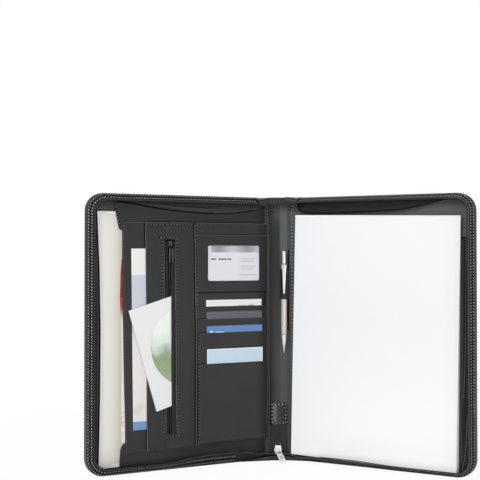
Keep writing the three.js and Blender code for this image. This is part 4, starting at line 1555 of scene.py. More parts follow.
BARREL = [(0, 156.1), (3.0, 156.1), (3.3, 156.5), (3.4, 160), (3.44, 167.4), (3.2, 167.6),
          (3.2, 168.4), (3.44, 168.6), (3.45, 187.4), (3.2, 187.6), (3.2, 188.6), (3.45, 188.8),
          (3.45, 239), (3.3, 241.5), (3.1, 243.4), (2.9, 243.5), (2.75, 243.3), (2.75, 236.2),
          (0, 236.2)]
TIP = [(0, 133), (0.35, 133.05), (0.5, 133.5), (0.55, 136), (1.3, 141.8), (1.5, 142.4),
       (1.9, 142.8), (2.2, 145.5), (3.1, 155), (3.15, 155.7), (0, 155.7)]
BUTTON = [(0, 239.9), (2.5, 239.9), (2.5, 246.2), (2.42, 246.9), (2.3, 252), (2.2, 258.8),
          (1.9, 259.7), (1.3, 260), (0, 260.05)]
dress(turned("pen_body", BARREL, PEN_AT), "pen", PEARL, "pen_pearl", "pen_barrel")
dress(turned("pen_cone", TIP, PEN_AT), "pen", CHROME, "bright_metal", "pen_tip")
dress(turned("pen_push_button", BUTTON, PEN_AT), "pen_button", CHROME, "bright_metal",
      "pen_button")
dress(refined("pen_clip", "pen_spring_clip", 0.25), "pen", CHROME, "bright_metal", "pen_clip")

# The clip's ring sits round the barrel's top, and a dark seal closes the gap round the button
RING = [(3.15, 241.0), (3.5, 241.0), (3.7, 241.2), (3.7, 242.9), (3.5, 243.1), (3.15, 243.1),
        (3.15, 241.0)]
SEAL = [(2.6, 243.4), (3.0, 243.4), (3.0, 244.4), (2.6, 244.4), (2.6, 243.4)]
dress(turned("pen_clip_ring", RING, PEN_AT), "pen", CHROME, "bright_metal")
dress(turned("pen_seal", SEAL, PEN_AT), "pen", HOLE_AND_SHADE, "dark_metal")


# %% [markdown]
# The pen's loop is one strip of leatherette that is sewn down on both sides of the pen. Its section
# is a flat flange, half a turn round the barrel with a little play, and a flange again.


# %% Pen loop
LOOP_BORE, LOOP_WALL, LOOP_FLANGE = 3.55, 0.5, 6.2


def pen_loop():
    """A strip of leatherette over the pen with a flat flange on each side."""
    low, high = (corner.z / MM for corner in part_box("pen_loop"))
    half = [(-LOOP_FLANGE, 0.85), (-LOOP_BORE - 1.2, 0.85), (-LOOP_BORE - 0.7, 1.1)]
    line = list(half)
    for k in range(17):
        angle = math.pi + math.pi * k / 16
        radius = LOOP_BORE + LOOP_WALL
        line.append((radius * math.cos(angle), PEN_AT[1] - radius * math.sin(angle)))
    line += [(-u, w) for u, w in reversed(half)]
    last = len(line) - 1

    def shape(s, t):
        u, w = line[round(s * last)]
        return Vector((PEN_AT[0] + u, low + (high - low) * t, w))

    piece = grid("pen_loop_strip", last, 16, shape)
    thicken(piece, LOOP_WALL, 0.12)
    return place(piece, "spine")


dress(pen_loop(), "spine", EDGE, "leatherette", "pen_loop")

# %% [markdown]
# The front cover's inside is a stack of thin layers, the document pocket lowest and the card slots
# highest. Each layer keeps the level of its frame part. Turned edges catch the light as thin bright
# lines, so each visible edge gets a rounded bead in a light finish: a painted highlight.

# %% Levels from the frame
def cover_of(node):
    return "front_cover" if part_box(node)[0].x < 0 else "back_cover"


def level(node):
    """The low and high w of a frame part on a cover, from its own corners."""
    inverse = PLACES[cover_of(node)].inverted()
    heights = [(inverse @ v.co).z for v in frame["nodes"][node].data.vertices]
    return min(heights), max(heights)


def panel(name, node, body, material, slot, inner, outer, **shape):
    """A sheet that stands for a frame part and fills that part's level. Returns the high w."""
    low, high = level(node)
    piece = leaf(name, cover_of(node), inner, outer, high, high - low, **shape)
    dress(piece, body, material, slot, node)
    return high


def wave(amount, count):
    """A gentle ripple across a sheet that dies out at its edges."""
    def lift(s, t):
        calm = min(ease(s * 6), ease((1 - s) * 6), ease(t * 8), ease((1 - t) * 8))
        return amount * calm * math.sin(count * math.pi * t + 3 * s)

    return lift


# %% [markdown]
# The documents are a folder with sheets in it. Three thin sheets, each a little shorter than the one
# below, show as a stepped edge, and a slight wave keeps the paper from looking like a plate.


# %% Documents and leaflet
DOCUMENT_EDGE = [(219.0, 8.3), (217.4, 90), (216.9, 168), (218.3, 240), (221.4, 306)]
sheaf_w = level("document_sheaf")[1]
# The two lower sheets take the lighter paper, a painted highlight along the stepped edge
# Each sheet: how far its side, foot and head stand back, how far it lies below the front one
for name, inset, foot, head, below, finish, nodes in (
        ("document_folder", 0.0, 0.0, 0.0, 0.3, PAINTED_HIGHLIGHT_PAPER, ["document_sheaf"]),
        ("document_sheets", 2.6, 3.0, 2.2, 0.12, PAINTED_HIGHLIGHT_PAPER, []),
        ("document_front", 3.4, 4.2, 3.4, 0.0, DOCUMENT_PAPER, [])):
    trim = [foot, 0, 0, 0, -head]
    outer = [(u - inset, v + up) for (u, v), up in zip(DOCUMENT_EDGE, trim)]
    inner = [(14, 9 + foot), (14, 306 - head)]
    sheet = leaf(name, "front_cover", inner, outer, sheaf_w - below, 0.1, wave(0.04, 3),
                 cells=(20, 60), edge=0.0)
    dress(sheet, "documents", finish, "document_paper", *nodes)

LEAFLET_EDGE = [(191.2, 36), (192.2, 60), (191.4, 120), (191.8, 160), (193.6, 205), (193, 232),
                (191.6, 250)]
panel("leaflet", "printed_leaflet", "leaflet", LEAFLET_PRINT, "leaflet_paper",
      [(44, 36), (44, 250)], LEAFLET_EDGE, cells=(20, 50), edge=0.03)

# %% [markdown]
# The document pocket is one leatherette sheet. Its free side has a notch near the foot and another
# near the top, which are points of its outline, and its mouth hangs in a shallow curve.


# %% Document pocket
INNER = 3.2
MOUTH_TOP = 318.4
POCKET_INNER = [(1.6, 5), (1.6, MOUTH_TOP)]
POCKET_OUTER = [(194.4, 6.5), (193.2, 26), (192.0, 31.5), (189.8, 34.4), (187.0, 35.2), (187.3, 61),
                (188.6, 101), (190.4, 190), (191.0, 250), (191.1, 283.6), (194.0, 284.6),
                (195.6, 287.0), (202.0, MOUTH_TOP)]
MOUTH = curved([(0, 317.1, 0), (16.7, 311.7, 0), (44.8, 307.3, 0), (72.4, 305.9, 0),
                (108.3, 307.3, 0), (143.2, 310.6, 0), (177.3, 315.6, 0), (203, MOUTH_TOP, 0)], 4)


def height_of(line, u):
    """The height of a line of points that runs outwards, at a distance from the fold."""
    for a, b in zip(line, line[1:]):
        if u <= b.x:
            return a.y + (b.y - a.y) * (u - a.x) / (b.x - a.x)
    return line[-1].y


def mouth_drop(s, t):
    """The pocket's mouth sags most a third of the way out."""
    return (MOUTH_TOP - height_of(MOUTH, 1.6 + 200.4 * s)) * ease((t - 0.8) / 0.2)


pocket_w = panel("document_pocket", "pocket_panel", "front_cover", POCKET, "leatherette",
                 POCKET_INNER, POCKET_OUTER, cells=(40, 160), drop=mouth_drop, edge=0.2)

# %% [markdown]
# Along the top a pleated gusset joins the pocket to the rim. It folds in on itself, so the eye sees
# two or three dark cloth leaves with curved lower edges, one behind the other.


# %% Gusset pleats
def pleat(name, where, points_low, v_top, face, rise, material, *nodes):
    """A cloth leaf that hangs from the rim, with a curved lower edge."""
    low_line = curved(raised(points_low, 0), 4)
    count = len(low_line) - 1

    def shape(s, t):
        at = low_line[round(s * count)]
        v = at.y + (v_top - at.y) * t
        return Vector((at.x, v, face + rise * t ** 1.5 + 0.25 * math.sin(9 * s) * (1 - t)))

    piece = grid(name, count, 10, shape)
    thicken(piece, 0.35, 0.1)
    place(piece, where)
    return dress(piece, where, material, "gusset_cloth", *nodes)


GUSSET_TOP = 323.6
MIDDLE_FOLD = [(20, 314.9), (46, 313.1), (74, 313.1), (110, 314.9), (144, 316.8), (178, 319.5)]
FRONT_FOLD = [(60, 317.8), (110, 318.2), (160, 321)]
front_w = level("front_gusset_fold")[1]
pleat("front_pleat_back", "front_cover",
      [(3, 317.5), (40, 314), (80, 312), (140, 315), (203, 320.5)], GUSSET_TOP, front_w + 0.5, 1.6,
      GUSSET, "front_gusset_fold")
# The middle leaf takes the gusset's painted sheen
pleat("front_pleat_middle", "front_cover", [(12, 316.6), *MIDDLE_FOLD, (204, 322)],
      GUSSET_TOP - 0.2, front_w + 2.8, 3.0, GUSSET_PAINTED_SHEEN)
pleat("front_pleat_front", "front_cover", [(15, 320), *FRONT_FOLD, (204, 322.6)], GUSSET_TOP,
      front_w + 6.0, 2.6, GUSSET)
back_w = level("back_gusset_fold")[1]
pleat("back_pleat", "back_cover",
      [(12.5, 318.8), (20.5, 308.2), (82, 307.2), (146, 309.4), (182, 315.6), (206, 321.6)],
      GUSSET_TOP, back_w, 2.2, GUSSET, "back_gusset_fold")
pleat("back_pleat_inner", "back_cover",
      [(30, 316.0), (82, 313.5), (140, 315.5), (190, 321)], GUSSET_TOP - 0.4, back_w + 2.0, 2.4,
      GUSSET)

# %% [markdown]
# Down the free side the same cloth closes the pocket. A leaf from the pocket's edge climbs to the
# rim with a slow wave, and near-black strips in the gaps are painted shade, where hardly any light
# gets in.


# %% Side gussets
PAD_POCKET_TOP = 274.8


def side_gusset(name, where, inner, face_low, face_high):
    outer = [(WIDTH - 2.6, inner[0][1]), (WIDTH - 2.6, inner[-1][1])]
    piece = leaf(name, where, inner, outer, face_low, 0.4,
                 lambda s, t: (face_high - face_low) * s ** 2.2
                 + 0.5 * math.sin(math.pi * s) * math.sin(7 * t), cells=(12, 60), edge=0.1)
    return dress(piece, where, GUSSET, "gusset_cloth")


side_gusset("front_side_pleat", "front_cover",
            [(222.6, 16), (221.4, 60), (221.0, 170), (222.4, 240), (224.6, 300)], 0.9, 3.4)
side_gusset("back_side_pleat", "back_cover",
            [(214.6, 12), (215.4, 40), (217.6, 90), (219.6, 130), (220.6, 200),
             (221.4, PAD_POCKET_TOP)],
            1.3, 3.4)
BACK_FOLD = [(219.8, 10), (222.9, 26), (224.9, 51), (226.6, 88), (227.0, 120), (227.6, 200),
             (228.4, PAD_POCKET_TOP)]
# The fold's leaf takes the gusset's painted sheen
fold_leaf = leaf("back_side_fold", "back_cover", BACK_FOLD,
                 [(231.6, 10), (232.0, PAD_POCKET_TOP)], 3.2, 0.4, lambda s, t: 2.4 * s ** 1.5,
                 cells=(8, 60), edge=0.1)
dress(fold_leaf, "back_cover", GUSSET_PAINTED_SHEEN, "gusset_cloth")


# A near-black strip that stands for the shade in a gap
def gap_shade_sheet(name, where, inner, outer, face, thickness):
    cloth = leaf(name, where, inner, outer, face, thickness, cells=(6, 40), edge=0.0)
    dress(cloth, where, PAINTED_GAP_SHADE, "gusset_cloth")


PAD_GAP = [(213.4, 6), (214.4, 40), (216.4, 90), (218.4, 130), (219.4, 200),
           (220.2, PAD_POCKET_TOP)]
gap_shade_sheet("back_gap_shade_sheet", "back_cover", shifted(PAD_GAP, -4), shifted(PAD_GAP, 3), 1.4, 0.3)
gap_shade_sheet("front_gap_shade_sheet", "front_cover", [(216, 8), (216, 306)],
          [(221.4, 10), (219.6, 90), (219.2, 168), (220.4, 240), (223.0, 308)], 0.34, 0.2)

# %% [markdown]
# The eye reads a fold by the light along its crest and the dark under it. Both are painted as thin
# beads, a painted highlight and a painted shadow, all those of one body and finish joined into one
# piece.


# %% Crests and shadows of the folds
def fold_line(where, points, w, radius):
    return bead("line", where, curved(raised(points, w), 4), radius)


back_folds = [fold_line("back_cover", BACK_FOLD, 3.4, 0.5),
              fold_line("back_cover", shifted(PAD_GAP[2:], 4.6), 2.2, 0.35)]
dress(join("back_gusset_folds", back_folds), "back_cover", PAINTED_HIGHLIGHT_EDGE, "gusset_cloth")
front_pleats = [fold_line("front_cover", [(13, 316.4), *MIDDLE_FOLD], 4.3, 0.35),
                fold_line("front_cover", [(16, 320), *FRONT_FOLD], 7.5, 0.3)]
dress(join("front_pleat_edges", front_pleats), "front_cover", SOFT_PAINTED_HIGHLIGHT, "gusset_cloth")
under_pleat = [(12.5, 318.6), (20.5, 308.0), (82, 306.8), (146, 309.0), (182, 315.2), (206, 321.2)]
back_shadows = [fold_line("back_cover", under_pleat, back_w, 0.5),
                bead("line", "back_cover", [(218.5, 275.2, 3.6), (229, 275.2, 4.4)], 0.5)]
dress(join("back_pleat_shadow", back_shadows), "back_cover", HOLE_AND_SHADE, "gusset_cloth")

# %% [markdown]
# Above the document pocket lies the organizer panel, which carries the other pockets. The brochure
# stands behind the zipped pocket, so only its free part is dressed with a printed finish.


# %% Organizer panel and brochure
ORGANIZER_OUTER = [(185.6, 21.9), (186.2, 34), (186.6, 61), (188.0, 101), (189.8, 190),
                   (190.4, 250), (190.4, 293.2)]
organizer_w = panel("organizer_board", "organizer_panel", "front_cover", INSIDE, "leatherette",
                    [(INNER, 28.2), (INNER, 293.9)], ORGANIZER_OUTER, cells=(40, 70), edge=0.2)
panel("brochure_folder", "brochure", "brochure", BROCHURE_PRINT, "brochure_paper",
      [(34, 50.0), (34, 262.8)], [(177.7, 49.7), (180.4, 262.6)], cells=(16, 30), edge=0.03)

# %% [markdown]
# The zipped pocket stands open. Its panel is two leaves that meet at the zip, and a long window in
# them shows the zip's two tapes. Stitching boxes the window in.

# %% Zipped pocket
WINDOW_TOP, WINDOW_LOW = 273.0, 42.7
POCKET_TOP = 294.1


def pocket_leaf(name, node, parts):
    """Leaves that share their cut lines, merged into one."""
    low, high = level(node)
    piece = join(name, [leaf(name, "front_cover", inner, outer, high, high - low, cells=cells,
                             edge=0.0) for inner, outer, cells in parts])
    merge(piece, 0.01 * MM)
    smooth(piece, 30)
    dress(piece, "front_cover", INSIDE, "leatherette", node)


left_w = level("zip_pocket_left")
right_w = level("zip_pocket_right")
LEFT_EDGE = [(160.3, 23.4), (161.1, 166.6), (162.8, POCKET_TOP)]


def at_height(line, v):
    return along(line, (v - line[0][1]) / (line[-1][1] - line[0][1]))[0]


def split_line(line, v_low, v_high):
    inside = [p for p in line if v_low < p[1] < v_high]
    return [(at_height(line, v_low), v_low), *inside, (at_height(line, v_high), v_high)]


pocket_leaf("zipped_pocket_left", "zip_pocket_left", [
    ([(130.2, 24.2), (130.2, WINDOW_LOW)], split_line(LEFT_EDGE, 23.5, WINDOW_LOW), (8, 4)),
    ([(135.2, WINDOW_LOW), (139.2, WINDOW_TOP)], split_line(LEFT_EDGE, WINDOW_LOW, WINDOW_TOP),
     (8, 40)),
    ([(131.5, WINDOW_TOP), (131.5, POCKET_TOP)], split_line(LEFT_EDGE, WINDOW_TOP, POCKET_TOP),
     (8, 4)),
])
pocket_leaf("zipped_pocket_right", "zip_pocket_right", [
    ([(INNER, 28.4), (INNER, WINDOW_LOW)], [(129.8, 24.2), (129.8, WINDOW_LOW)], (20, 4)),
    ([(INNER, WINDOW_LOW), (INNER, WINDOW_TOP)], [(123.4, WINDOW_LOW), (125.8, WINDOW_TOP)],
     (20, 40)),
    ([(INNER, WINDOW_TOP), (INNER, POCKET_TOP)], [(131.1, WINDOW_TOP), (131.1, POCKET_TOP)],
     (20, 4)),
])

# %% [markdown]
# Above and below the window the two leaves are sewn into one. They lie at two levels, so a short
# cover piece starts flat on the upper leaf and eases down to the lower one.

# %% Joints of the two leaves
joint_w = max(left_w[1], right_w[1]) + 0.1
STEP_DOWN = joint_w - left_w[1] - 0.03


def to_left_leaf(s, t):
    return -STEP_DOWN * ease((s - 0.35) / 0.65)


joints = [
    leaf("joint", "front_cover", [(u, low), (u, high)], [(u + 9, low), (u + 9, high)], joint_w, 0.3,
         to_left_leaf, cells=(12, 4), edge=0.0)
    for u, low, high in ((127.6, 24.4, 41.9), (128.6, 273.7, 294))
]
print("zipped pocket steps down by", round(STEP_DOWN, 2), "mm to its left leaf")
dress(join("zipped_pocket_joints", joints), "front_cover", INSIDE, "leatherette")

# %% [markdown]
# In the window lie the two tapes of the pocket's zip with the coil between them. The slider and its
# pull are black lacquer, and a painted highlight along each edge is what makes them readable.

# %% Zip of the pocket
for name, inner, outer, top in (
        ("left", [(126.0, 43.1), (128.0, 272.6)], [(134.8, 43.1), (138.8, 272.6)], left_w[1]),
        ("right", [(123.8, 43.1), (126.2, 272.6)], [(129.7, 43.1), (131.0, 272.6)], right_w[1])):
    tape = leaf(f"pocket_tape_{name}", "front_cover", inner, outer, top - 0.1, 0.4, cells=(4, 30),
                edge=0.05)
    dress(tape, "front_cover", TAPE, "zip_tape", f"pocket_zip_{name}")
coils = [
    ball_row("coil", "front_cover", [(130.0 + off, 43.0, w), (131.3 + off, 272.6, w)], 1.3,
             (0.85, 1.5, 0.9), 8, 4)
    for off, w in ((0.9, left_w[1] + 0.35), (-0.9, right_w[1] + 0.3))
]
dress(join("pocket_zip_coil", coils), "front_cover", TEETH, "zip_teeth")

# %% Slider and pull of the pocket
for node, name in (("pocket_slider", "black_slider"), ("pocket_pull", "black_pull")):
    dress(refined(node, name, 0.2), node, BLACK_METAL, "dark_metal", node)
to_cover = PLACES["front_cover"].inverted()
pull_sides = [(to_cover @ corner.co).x for corner in frame["nodes"]["pocket_pull"].data.vertices]
pull_u = (min(pull_sides) + max(pull_sides)) / 2
pull_plate = leaf("black_pull_plate", "front_cover",
                  [(pull_u - 1.6, 246.2), (pull_u - 1.2, 263.4)],
                  [(pull_u + 3.0, 246.2), (pull_u + 2.2, 263.4)], 8.72, 0.6, cells=(4, 12))
dress(pull_plate, "pocket_pull", BLACK_METAL, "dark_metal")


def pull_highlight_lines(name, body, top, foot, w, places):
    """Painted highlights: bright lines from (by, top) down to (by, foot), beside the pull's middle.
    """
    edges = [bead("edge", "front_cover", [(pull_u + high, top, w), (pull_u + low, foot, w)], 0.34)
             for high, low in places]
    dress(join(name, edges), body, DULL_NICKEL, "dark_metal")


pull_highlight_lines("pocket_pull_edges", "pocket_pull", 263.4, 246.4, 8.78, ((-1.1, -1.5), (2.1, 2.9)))
pull_highlight_lines("pocket_slider_edges", "pocket_slider", 271.4, 266.2, 9.3, ((0.9, 0.9), (3.0, 3.0)))

# %% [markdown]
# Where the front cover folds, cloth comes down from the top of the stack to the spine. It crosses
# the fold, as the strips outside do.


# %% Cloth from the front stack down to the spine
def stack_fold():
    cover, spine = PLACES["front_cover"], PLACES["spine"]
    line = [cover @ Vector(p) for p in ((4.0, 0, 8.35), (2.8, 0, 8.1), (1.8, 0, 6.9), (1.1, 0, 4.6))]
    line += [spine @ Vector(p) for p in ((-14.6, 0, 1.9), (-13.0, 0, 1.0), (-11.3, 0, 0.75))]
    last = len(line) - 1

    def shape(s, t):
        at = line[round(s * last)]
        return Vector((at.x, at.y, (28 + 266 * t) * MM))

    piece = grid("stack_fold_cloth", last, 40, shape)
    thicken(piece, 0.5 * MM, 0.1 * MM)
    finished(piece, EDGE)
    cross_fold(piece, ("front_cover", "spine"), "leatherette", cover @ Vector((2.6, 0, 7.5)),
               spine @ Vector((-12.6, 0, 1)))


stack_fold()
# Thin light lines along the fold are painted highlights
spine_lines = [
    bead("line", "spine", evenly([(-11.0, 20, 0.7), (-10.8, 150, 0.7), (-11.3, 281, 0.7)], 10), 0.3),
    bead("line", "spine", curved([(-13, 41, 0.6), (-13, 28, 0.6), (-12.6, 17, 0.7)], 3), 0.3),
]
dress(join("spine_fold_lines", spine_lines), "spine", PAINTED_HIGHLIGHT_EDGE, "lining_cloth")
# A near-black bead right of the pen is its painted shadow on the lining
crease = curved([(13.2, 262, 0.5), (13.3, 210, 0.5), (13.0, 160, 0.5)], 4)
dress(bead("spine_pen_shadow", "spine", crease, 0.8, 0.5), "spine", HOLE_AND_SHADE, "lining_cloth")
sewn("spine_fold_thread", "spine", "lining_cloth",
     seam("spine", [(-13.9, 286, 0.4), (-13.9, 312, 0.4)], yarn=DARK_THREAD))

# %% [markdown]
# The sleeve is folded paper, so its faces stay flat-shaded: smoothed normals would spread a grey
# gradient from its thin sides over its wide faces.

# %% Disc and sleeve
sleeve = refined("disc_sleeve", "paper_sleeve", 0.05, 1)
bpy.ops.object.shade_flat()
dress(sleeve, "disc_sleeve", SLEEVE_PAPER, "sleeve_paper", "disc_sleeve")
coat(DISC_PRINT, "disc")


# %% [markdown]
# Cards have rounded corners. Each starts as a cube of the card's size, and only its four upright
# edges are picked and bevelled.


# %% Cards
def plate(name, u0, v0, u1, v1, w0, w1, radius):
    """A flat card on the front cover between two corners, with rounded upright edges."""
    bpy.ops.mesh.primitive_cube_add(size=1)
    piece = named(bpy.context.object, name)
    size = Matrix.Diagonal((u1 - u0, v1 - v0, w1 - w0, 1))
    piece.data.transform(Matrix.Translation(((u0 + u1) / 2, (v0 + v1) / 2, (w0 + w1) / 2)) @ size)
    alone(piece)
    bpy.ops.object.mode_set(mode="EDIT")
    bpy.ops.mesh.select_mode(type="EDGE")
    bpy.ops.mesh.select_all(action="DESELECT")
    bpy.ops.object.mode_set(mode="OBJECT")
    for edge in piece.data.edges:
        a, b = (piece.data.vertices[k].co for k in edge.vertices)
        edge.select = abs(a.z - b.z) > (w1 - w0) / 2
    bpy.ops.object.mode_set(mode="EDIT")
    bpy.ops.mesh.bevel(offset=radius, segments=6, affect="EDGES")
    bpy.ops.object.mode_set(mode="OBJECT")
    smooth(piece, 30)
    return place(piece, "front_cover")


CARDS = [(200.5, 0.6, "card_white"), (186.2, 2.2, "card_violet"), (169.0, 0.6, "card_blue"),
         (PALE_TOP, 0.6, "card_pale_blue")]
for n, (top, radius, slot) in enumerate(CARDS, 1):
    card = plate(f"pocket_card_{n}", CARD_LEFT, top - CARD_HEIGHT, CARD_RIGHT, top,
                 *level(f"card_{n}"), radius)
    dress(card, f"card_{n}", CARD_FINISHES[n - 1], slot, f"card_{n}")

identity = plate("identity_card", 5.35, 218.15, 90.95, 272.15, *level("id_card"), 2.5)
dress(identity, "id_card", IDENTITY_PRINT, "id_card_stock", "id_card")
coat(CLEAR_FILM, "id_window_film")

# %% [markdown]
# The card pockets are flaps of leatherette on one base panel. Each flap reaches down under the next
# one and is lifted a little at its mouth, where the card comes out.

# %% Base panel and flaps
CARD_EDGE = [(98.5, 25), (98.3, 128), (98.4, 178), (99.5, 226), (100.4, POCKET_TOP)]
card_w = panel("card_pocket_base", "card_panel", "front_cover", INSIDE, "leatherette",
               [(INNER, 28.6), (INNER, POCKET_TOP)], CARD_EDGE, cells=(24, 60), edge=0.2)

SLOT_MOUTHS = [192.4, 177.4, 160.7, 123.3]
SLOT_FEET = [118.0, 103.0, 86.0, 28.6]
FLAP_OUT = 97.3
slot_w = [
    panel(f"slot_flap_{n}", f"card_slot_{n}", "front_cover", INSIDE, "leatherette",
          [(INNER, foot), (INNER, mouth)], [(FLAP_OUT, foot), (FLAP_OUT, mouth)],
          lift=lambda s, t: 0.12 * ease((t - 0.9) / 0.1), cells=(16, 24), edge=0.18)
    for n, (mouth, foot) in enumerate(zip(SLOT_MOUTHS, SLOT_FEET), 1)
]
print("card slots lie at", [round(w, 2) for w in slot_w])

# %% [markdown]
# The identity card shows through a hole with rounded corners. A Boolean modifier cuts it with a
# plate of the hole's size, which is quicker and cleaner here than joining four strips.


# %% Window frame for the identity card
FRAME_LOW = 209.8
WINDOW_HOLE = (12.9, 223.6, 83.4, 266.7)
HOLE_ROUNDING = 2.5


def window_frame():
    """A panel with a rounded window, cut from a plate by a Boolean modifier."""
    low, high = level("id_window_frame")
    piece = leaf("identity_window", "front_cover", [(INNER, FRAME_LOW), (INNER, POCKET_TOP)],
                 [(98.2, FRAME_LOW), (99.6, POCKET_TOP)], high, high - low, cells=(24, 22),
                 edge=0.0)
    cutter = plate("cutter", *WINDOW_HOLE, low - 2, high + 2, HOLE_ROUNDING)
    cut = piece.modifiers.new("window", "BOOLEAN")
    cut.operation = "DIFFERENCE"
    cut.solver = "EXACT"
    cut.object = cutter
    round_edges(piece, 0.15 * MM)
    apply_all(piece)
    bpy.data.objects.remove(cutter)
    smooth(piece)
    return piece


dress(window_frame(), "front_cover", INSIDE, "leatherette", "id_window_frame")

# %% [markdown]
# Turned edges catch the light, and the step beside each one lies in the dark. The painted highlights
# and painted shadows are two lists of beads, each bead with its points, radius and flattening.


# %% Painted highlights on the edges
frame_w = level("id_window_frame")[1]
ORGANIZER_LOW = 0.25
AS_DRAWN = 99


def line(points, radius, flatten=1.0, step=8):
    """A bead on the front cover with a station every step, or only at the points as drawn."""
    return bead("line", "front_cover", evenly(points, step), radius, flatten)


bright = [
    line(raised(LEFT_EDGE, left_w[1] - 0.1), 0.5),
    line(raised(shifted(CARD_EDGE, -0.2), card_w - 0.1), 0.55),
    line(raised(shifted(ORGANIZER_OUTER, -0.3), organizer_w - 0.38), 0.4),
    line([(at.x, at.y + 1.0, pocket_w + 0.3) for at in MOUTH if 8 < at.x < 76], 0.45),
    *[line([(4, mouth, w - 0.24), (95.8, mouth, w - 0.24)], 0.3)
      for mouth, w in zip(SLOT_MOUTHS, slot_w)],
    line([(139.4, 272, left_w[1]), (135.4, 43.4, left_w[1])], 0.3),
    line([(125.6, 272, right_w[1]), (123.2, 43.4, right_w[1])], 0.3),
    line([(4, 279.6, frame_w), (99, 279.4, frame_w)], 0.25),
    line([(101, 293.9, right_w[1]), (131, 293.9, joint_w), (137.6, 293.9, left_w[1]),
          (162, 293.9, left_w[1])], 0.3, step=AS_DRAWN),
    line([(4, 293.9, frame_w), (99.6, 293.9, frame_w)], 0.3),
    line([(164, 293, organizer_w - ORGANIZER_LOW), (190, 293, organizer_w - ORGANIZER_LOW)], 0.3),
]
dress(join("turned_edge_highlights", bright), "front_cover", PAINTED_HIGHLIGHT_EDGE, "leatherette")

# %% Painted shadows in the steps
dark = [
    *[line([(u0, mouth + 0.5, w - 0.2), (u1, mouth + 0.5, w - 0.2)], 0.4, 0.5, 4)
      for mouth, w in zip(SLOT_MOUTHS, slot_w) for u0, u1 in ((3.6, 8.6), (86, 95.8))],
    line([(at.x, at.y - 0.2, pocket_w + 0.15) for at in MOUTH if 12 < at.x < 200], 0.7, 0.6),
    line([(4, 294.7, pocket_w), (99.6, 294.7, pocket_w)], 0.7, 0.5),
    line([(101, 294.7, pocket_w), (162.5, 294.7, pocket_w)], 0.7, 0.5),
    line(raised(shifted(CARD_EDGE, 0.9), right_w[1] + 0.1), 0.75, 0.6),
    line([(138.6, 271.8, left_w[1] - 0.1), (134.6, 43.6, left_w[1] - 0.1)], 0.55, 0.6),
    line([(133.4, 264, left_w[1]), (132.0, 43.6, left_w[1])], 0.45, 0.6),
    line([(138.4, 272.6, joint_w), (126.2, 272.6, joint_w)], 0.8, 0.6, 4),
    line([(163.4, 264, left_w[0]), (163.6, 293, left_w[0])], 0.6, step=AS_DRAWN),
    line([(161.2, 24.5, left_w[0]), (161.3, 49, left_w[0])], 0.6, step=AS_DRAWN),
    line([(4, 280.4, frame_w), (99, 280.2, frame_w)], 0.3),
    line([(4, FRAME_LOW + 0.1, frame_w), (96.6, FRAME_LOW + 0.1, frame_w)], 0.35),
]
dress(join("painted_step_shadows", dark), "front_cover", HOLE_AND_SHADE, "leatherette")

# %% [markdown]
# The rows of thread run along the same edges, on whatever level the cloth has there. A row that
# passes over several pockets is split, so that each stretch lies on its own layer.

# %% Inside thread
def run(points, w):
    return seam("front_cover", raised(points, w + 0.05), size=(2.0, 0.8, 0.5), hole_width=1.5,
                yarn=DARK_THREAD)


def beside_cards(v_low, v_high, w):
    """A row beside the edge of the card panel."""
    return [(at_height(CARD_EDGE, v) - 2.0, v) for v in (v_low, v_high)], w


on_organizer = organizer_w - 0.26
on_left, on_right = left_w[1], right_w[1]
thread_rows = [
    (shifted(ORGANIZER_OUTER[1:], -2.0), on_organizer),
    ([(188, 291.2), (164.6, 291.4)], on_organizer),
    ([(161, 291.4), (137.8, 291.5)], on_left),
    ([(136.4, 291.5), (101.8, 291.6)], joint_w),
    ([(98, 291.6), (4.5, 291.8)], frame_w),
    beside_cards(30, 122, slot_w[3]),
    beside_cards(125, 160, slot_w[2]),
    beside_cards(162.4, 177, slot_w[1]),
    beside_cards(179, 192, slot_w[0]),
    beside_cards(194.4, 208.6, card_w),
    beside_cards(211, 290.6, frame_w),
    ([(184, 24.4), (161.6, 25.4)], on_organizer),
    ([(159, 26.0), (137, 26.4)], on_left),
    ([(135.6, 26.4), (99.6, 27.4)], joint_w),
    ([(94, 30.2), (8, 32.4)], slot_w[3]),
    ([(142.2, 275.9), (138.2, 38.8)], on_left),
    ([(137, 38.8), (120.6, 38.8)], joint_w),
    ([(120.6, 38.8), (122.6, 275.9)], on_right),
    ([(122.6, 275.9), (136.6, 275.9)], joint_w),
    ([(138, 275.9), (142.2, 275.9)], on_left),
    ([(199.6, 312), (194.4, 290.5)], pocket_w),
]
sewn("front_inside_thread", "front_cover", "leatherette",
     *[run(points, w) for points, w in thread_rows])

# %% [markdown]
# On the back cover the pad's board is slipped behind a panel, and a narrow stitched hem runs down
# the fold. The pad itself is the frame's own part, already coated with its paper.

# %% Pad pocket and hem
panel("pad_pocket", "pad_pocket_panel", "back_cover", POCKET, "leatherette",
      [(5.4, 3.2), (5.4, PAD_POCKET_TOP)], [(215.8, 3.2), (220, 20), (221.6, PAD_POCKET_TOP)],
      cells=(30, 60), edge=0.2)

hem_strip = leaf("back_hinge_hem", "back_cover", [(0.7, 4), (0.7, 322)], [(4.9, 4), (4.9, 322)],
                 0.95, 0.7, cells=(6, 60), edge=0.25)
dress(hem_strip, "back_cover", HEM, "leatherette")
sewn("back_hinge_thread", "back_cover", "leatherette",
     seam("back_cover", [(3.0, 6, 1.0), (3.0, 320, 1.0)], 4.3, (2.3, 1.1, 0.6), 2.0, THREAD))

# %% [markdown]
# The stage is a pale floor that keeps a faint shadow, and soft light from large lamps. Camera and
# transmission rays see a white surrounding, while the light on the object stays at a plain level.


# %% White surrounding
WHITE = (1, 1, 1, 1)
WORLD_LIGHT = 0.45


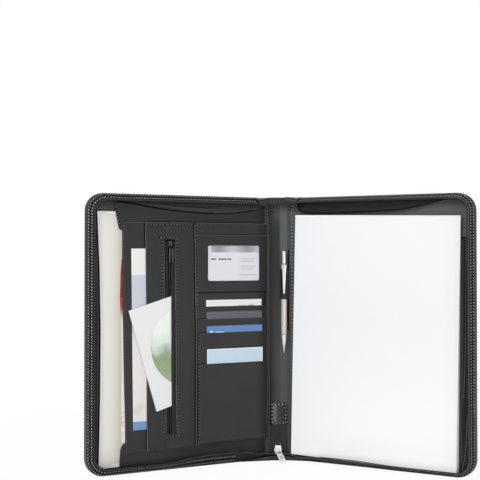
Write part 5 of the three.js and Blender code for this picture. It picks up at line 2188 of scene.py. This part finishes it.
def white_world():
    world = bpy.data.worlds.new("white_surrounding")
    world.use_nodes = True
    bpy.context.scene.world = world
    nodes = Nodes(world.node_tree)
    nodes.tree.nodes.clear()
    direct = nodes.node("ShaderNodeLightPath", output="Is Camera Ray")
    through = nodes.node("ShaderNodeLightPath", output="Is Transmission Ray")
    plain = nodes.node("ShaderNodeBackground", {"Color": WHITE, "Strength": WORLD_LIGHT})
    white = nodes.node("ShaderNodeBackground", {"Color": WHITE, "Strength": 1.0})
    seen = direct.math("MAXIMUM", through)
    mixed = nodes.node("ShaderNodeMixShader", [seen, plain, white])
    output = nodes.tree.nodes.new("ShaderNodeOutputWorld")
    nodes.feed(output.inputs["Surface"], mixed)


white_world()


# %% Floor
def pale_floor():
    bpy.ops.mesh.primitive_circle_add(vertices=96, radius=6, fill_type="NGON")
    floor = named(bpy.context.object, "pale_floor")
    finish = Finish("floor", 0.9)
    finish.set("Base Color", (0.93, 0.93, 0.93, 1))
    glow = finish.node("ShaderNodeEmission", {"Color": WHITE, "Strength": 1.0})
    seen = finish.node("ShaderNodeLightPath", output="Is Camera Ray")
    far = finish.node("ShaderNodeVectorMath", [finish.objects()], output="Value",
                      operation="LENGTH")
    share = seen * (far.soft(0.25, 0.7) * 0.07 + 0.93)
    mixed = finish.node("ShaderNodeMixShader", [share, Wire(finish, finish.shader.outputs[0]),
                                                glow])
    output = finish.tree.nodes["Material Output"]
    finish.feed(output.inputs["Surface"], mixed)
    floor.data.materials.append(finish.material)


pale_floor()


# %% Lamps
def lamp(name, at, size, power):
    bpy.ops.object.light_add(type="AREA", location=at)
    light = bpy.context.object
    light.name = name
    light.data.size = size
    light.data.energy = power
    aim = Vector((0, 0, 0.16)) - Vector(at)
    light.rotation_euler = aim.to_track_quat("-Z", "Y").to_euler()


lamp("key", (-1.1, -1.5, 1.3), 1.0, 24)
lamp("fill", (1.1, -1.9, 0.5), 1.4, 15)
lamp("back", (0.2, 1.6, 1.4), 1.2, 14)
print("lit by three lamps and a white surrounding")

bpy.context.scene.view_settings.view_transform = "Standard"
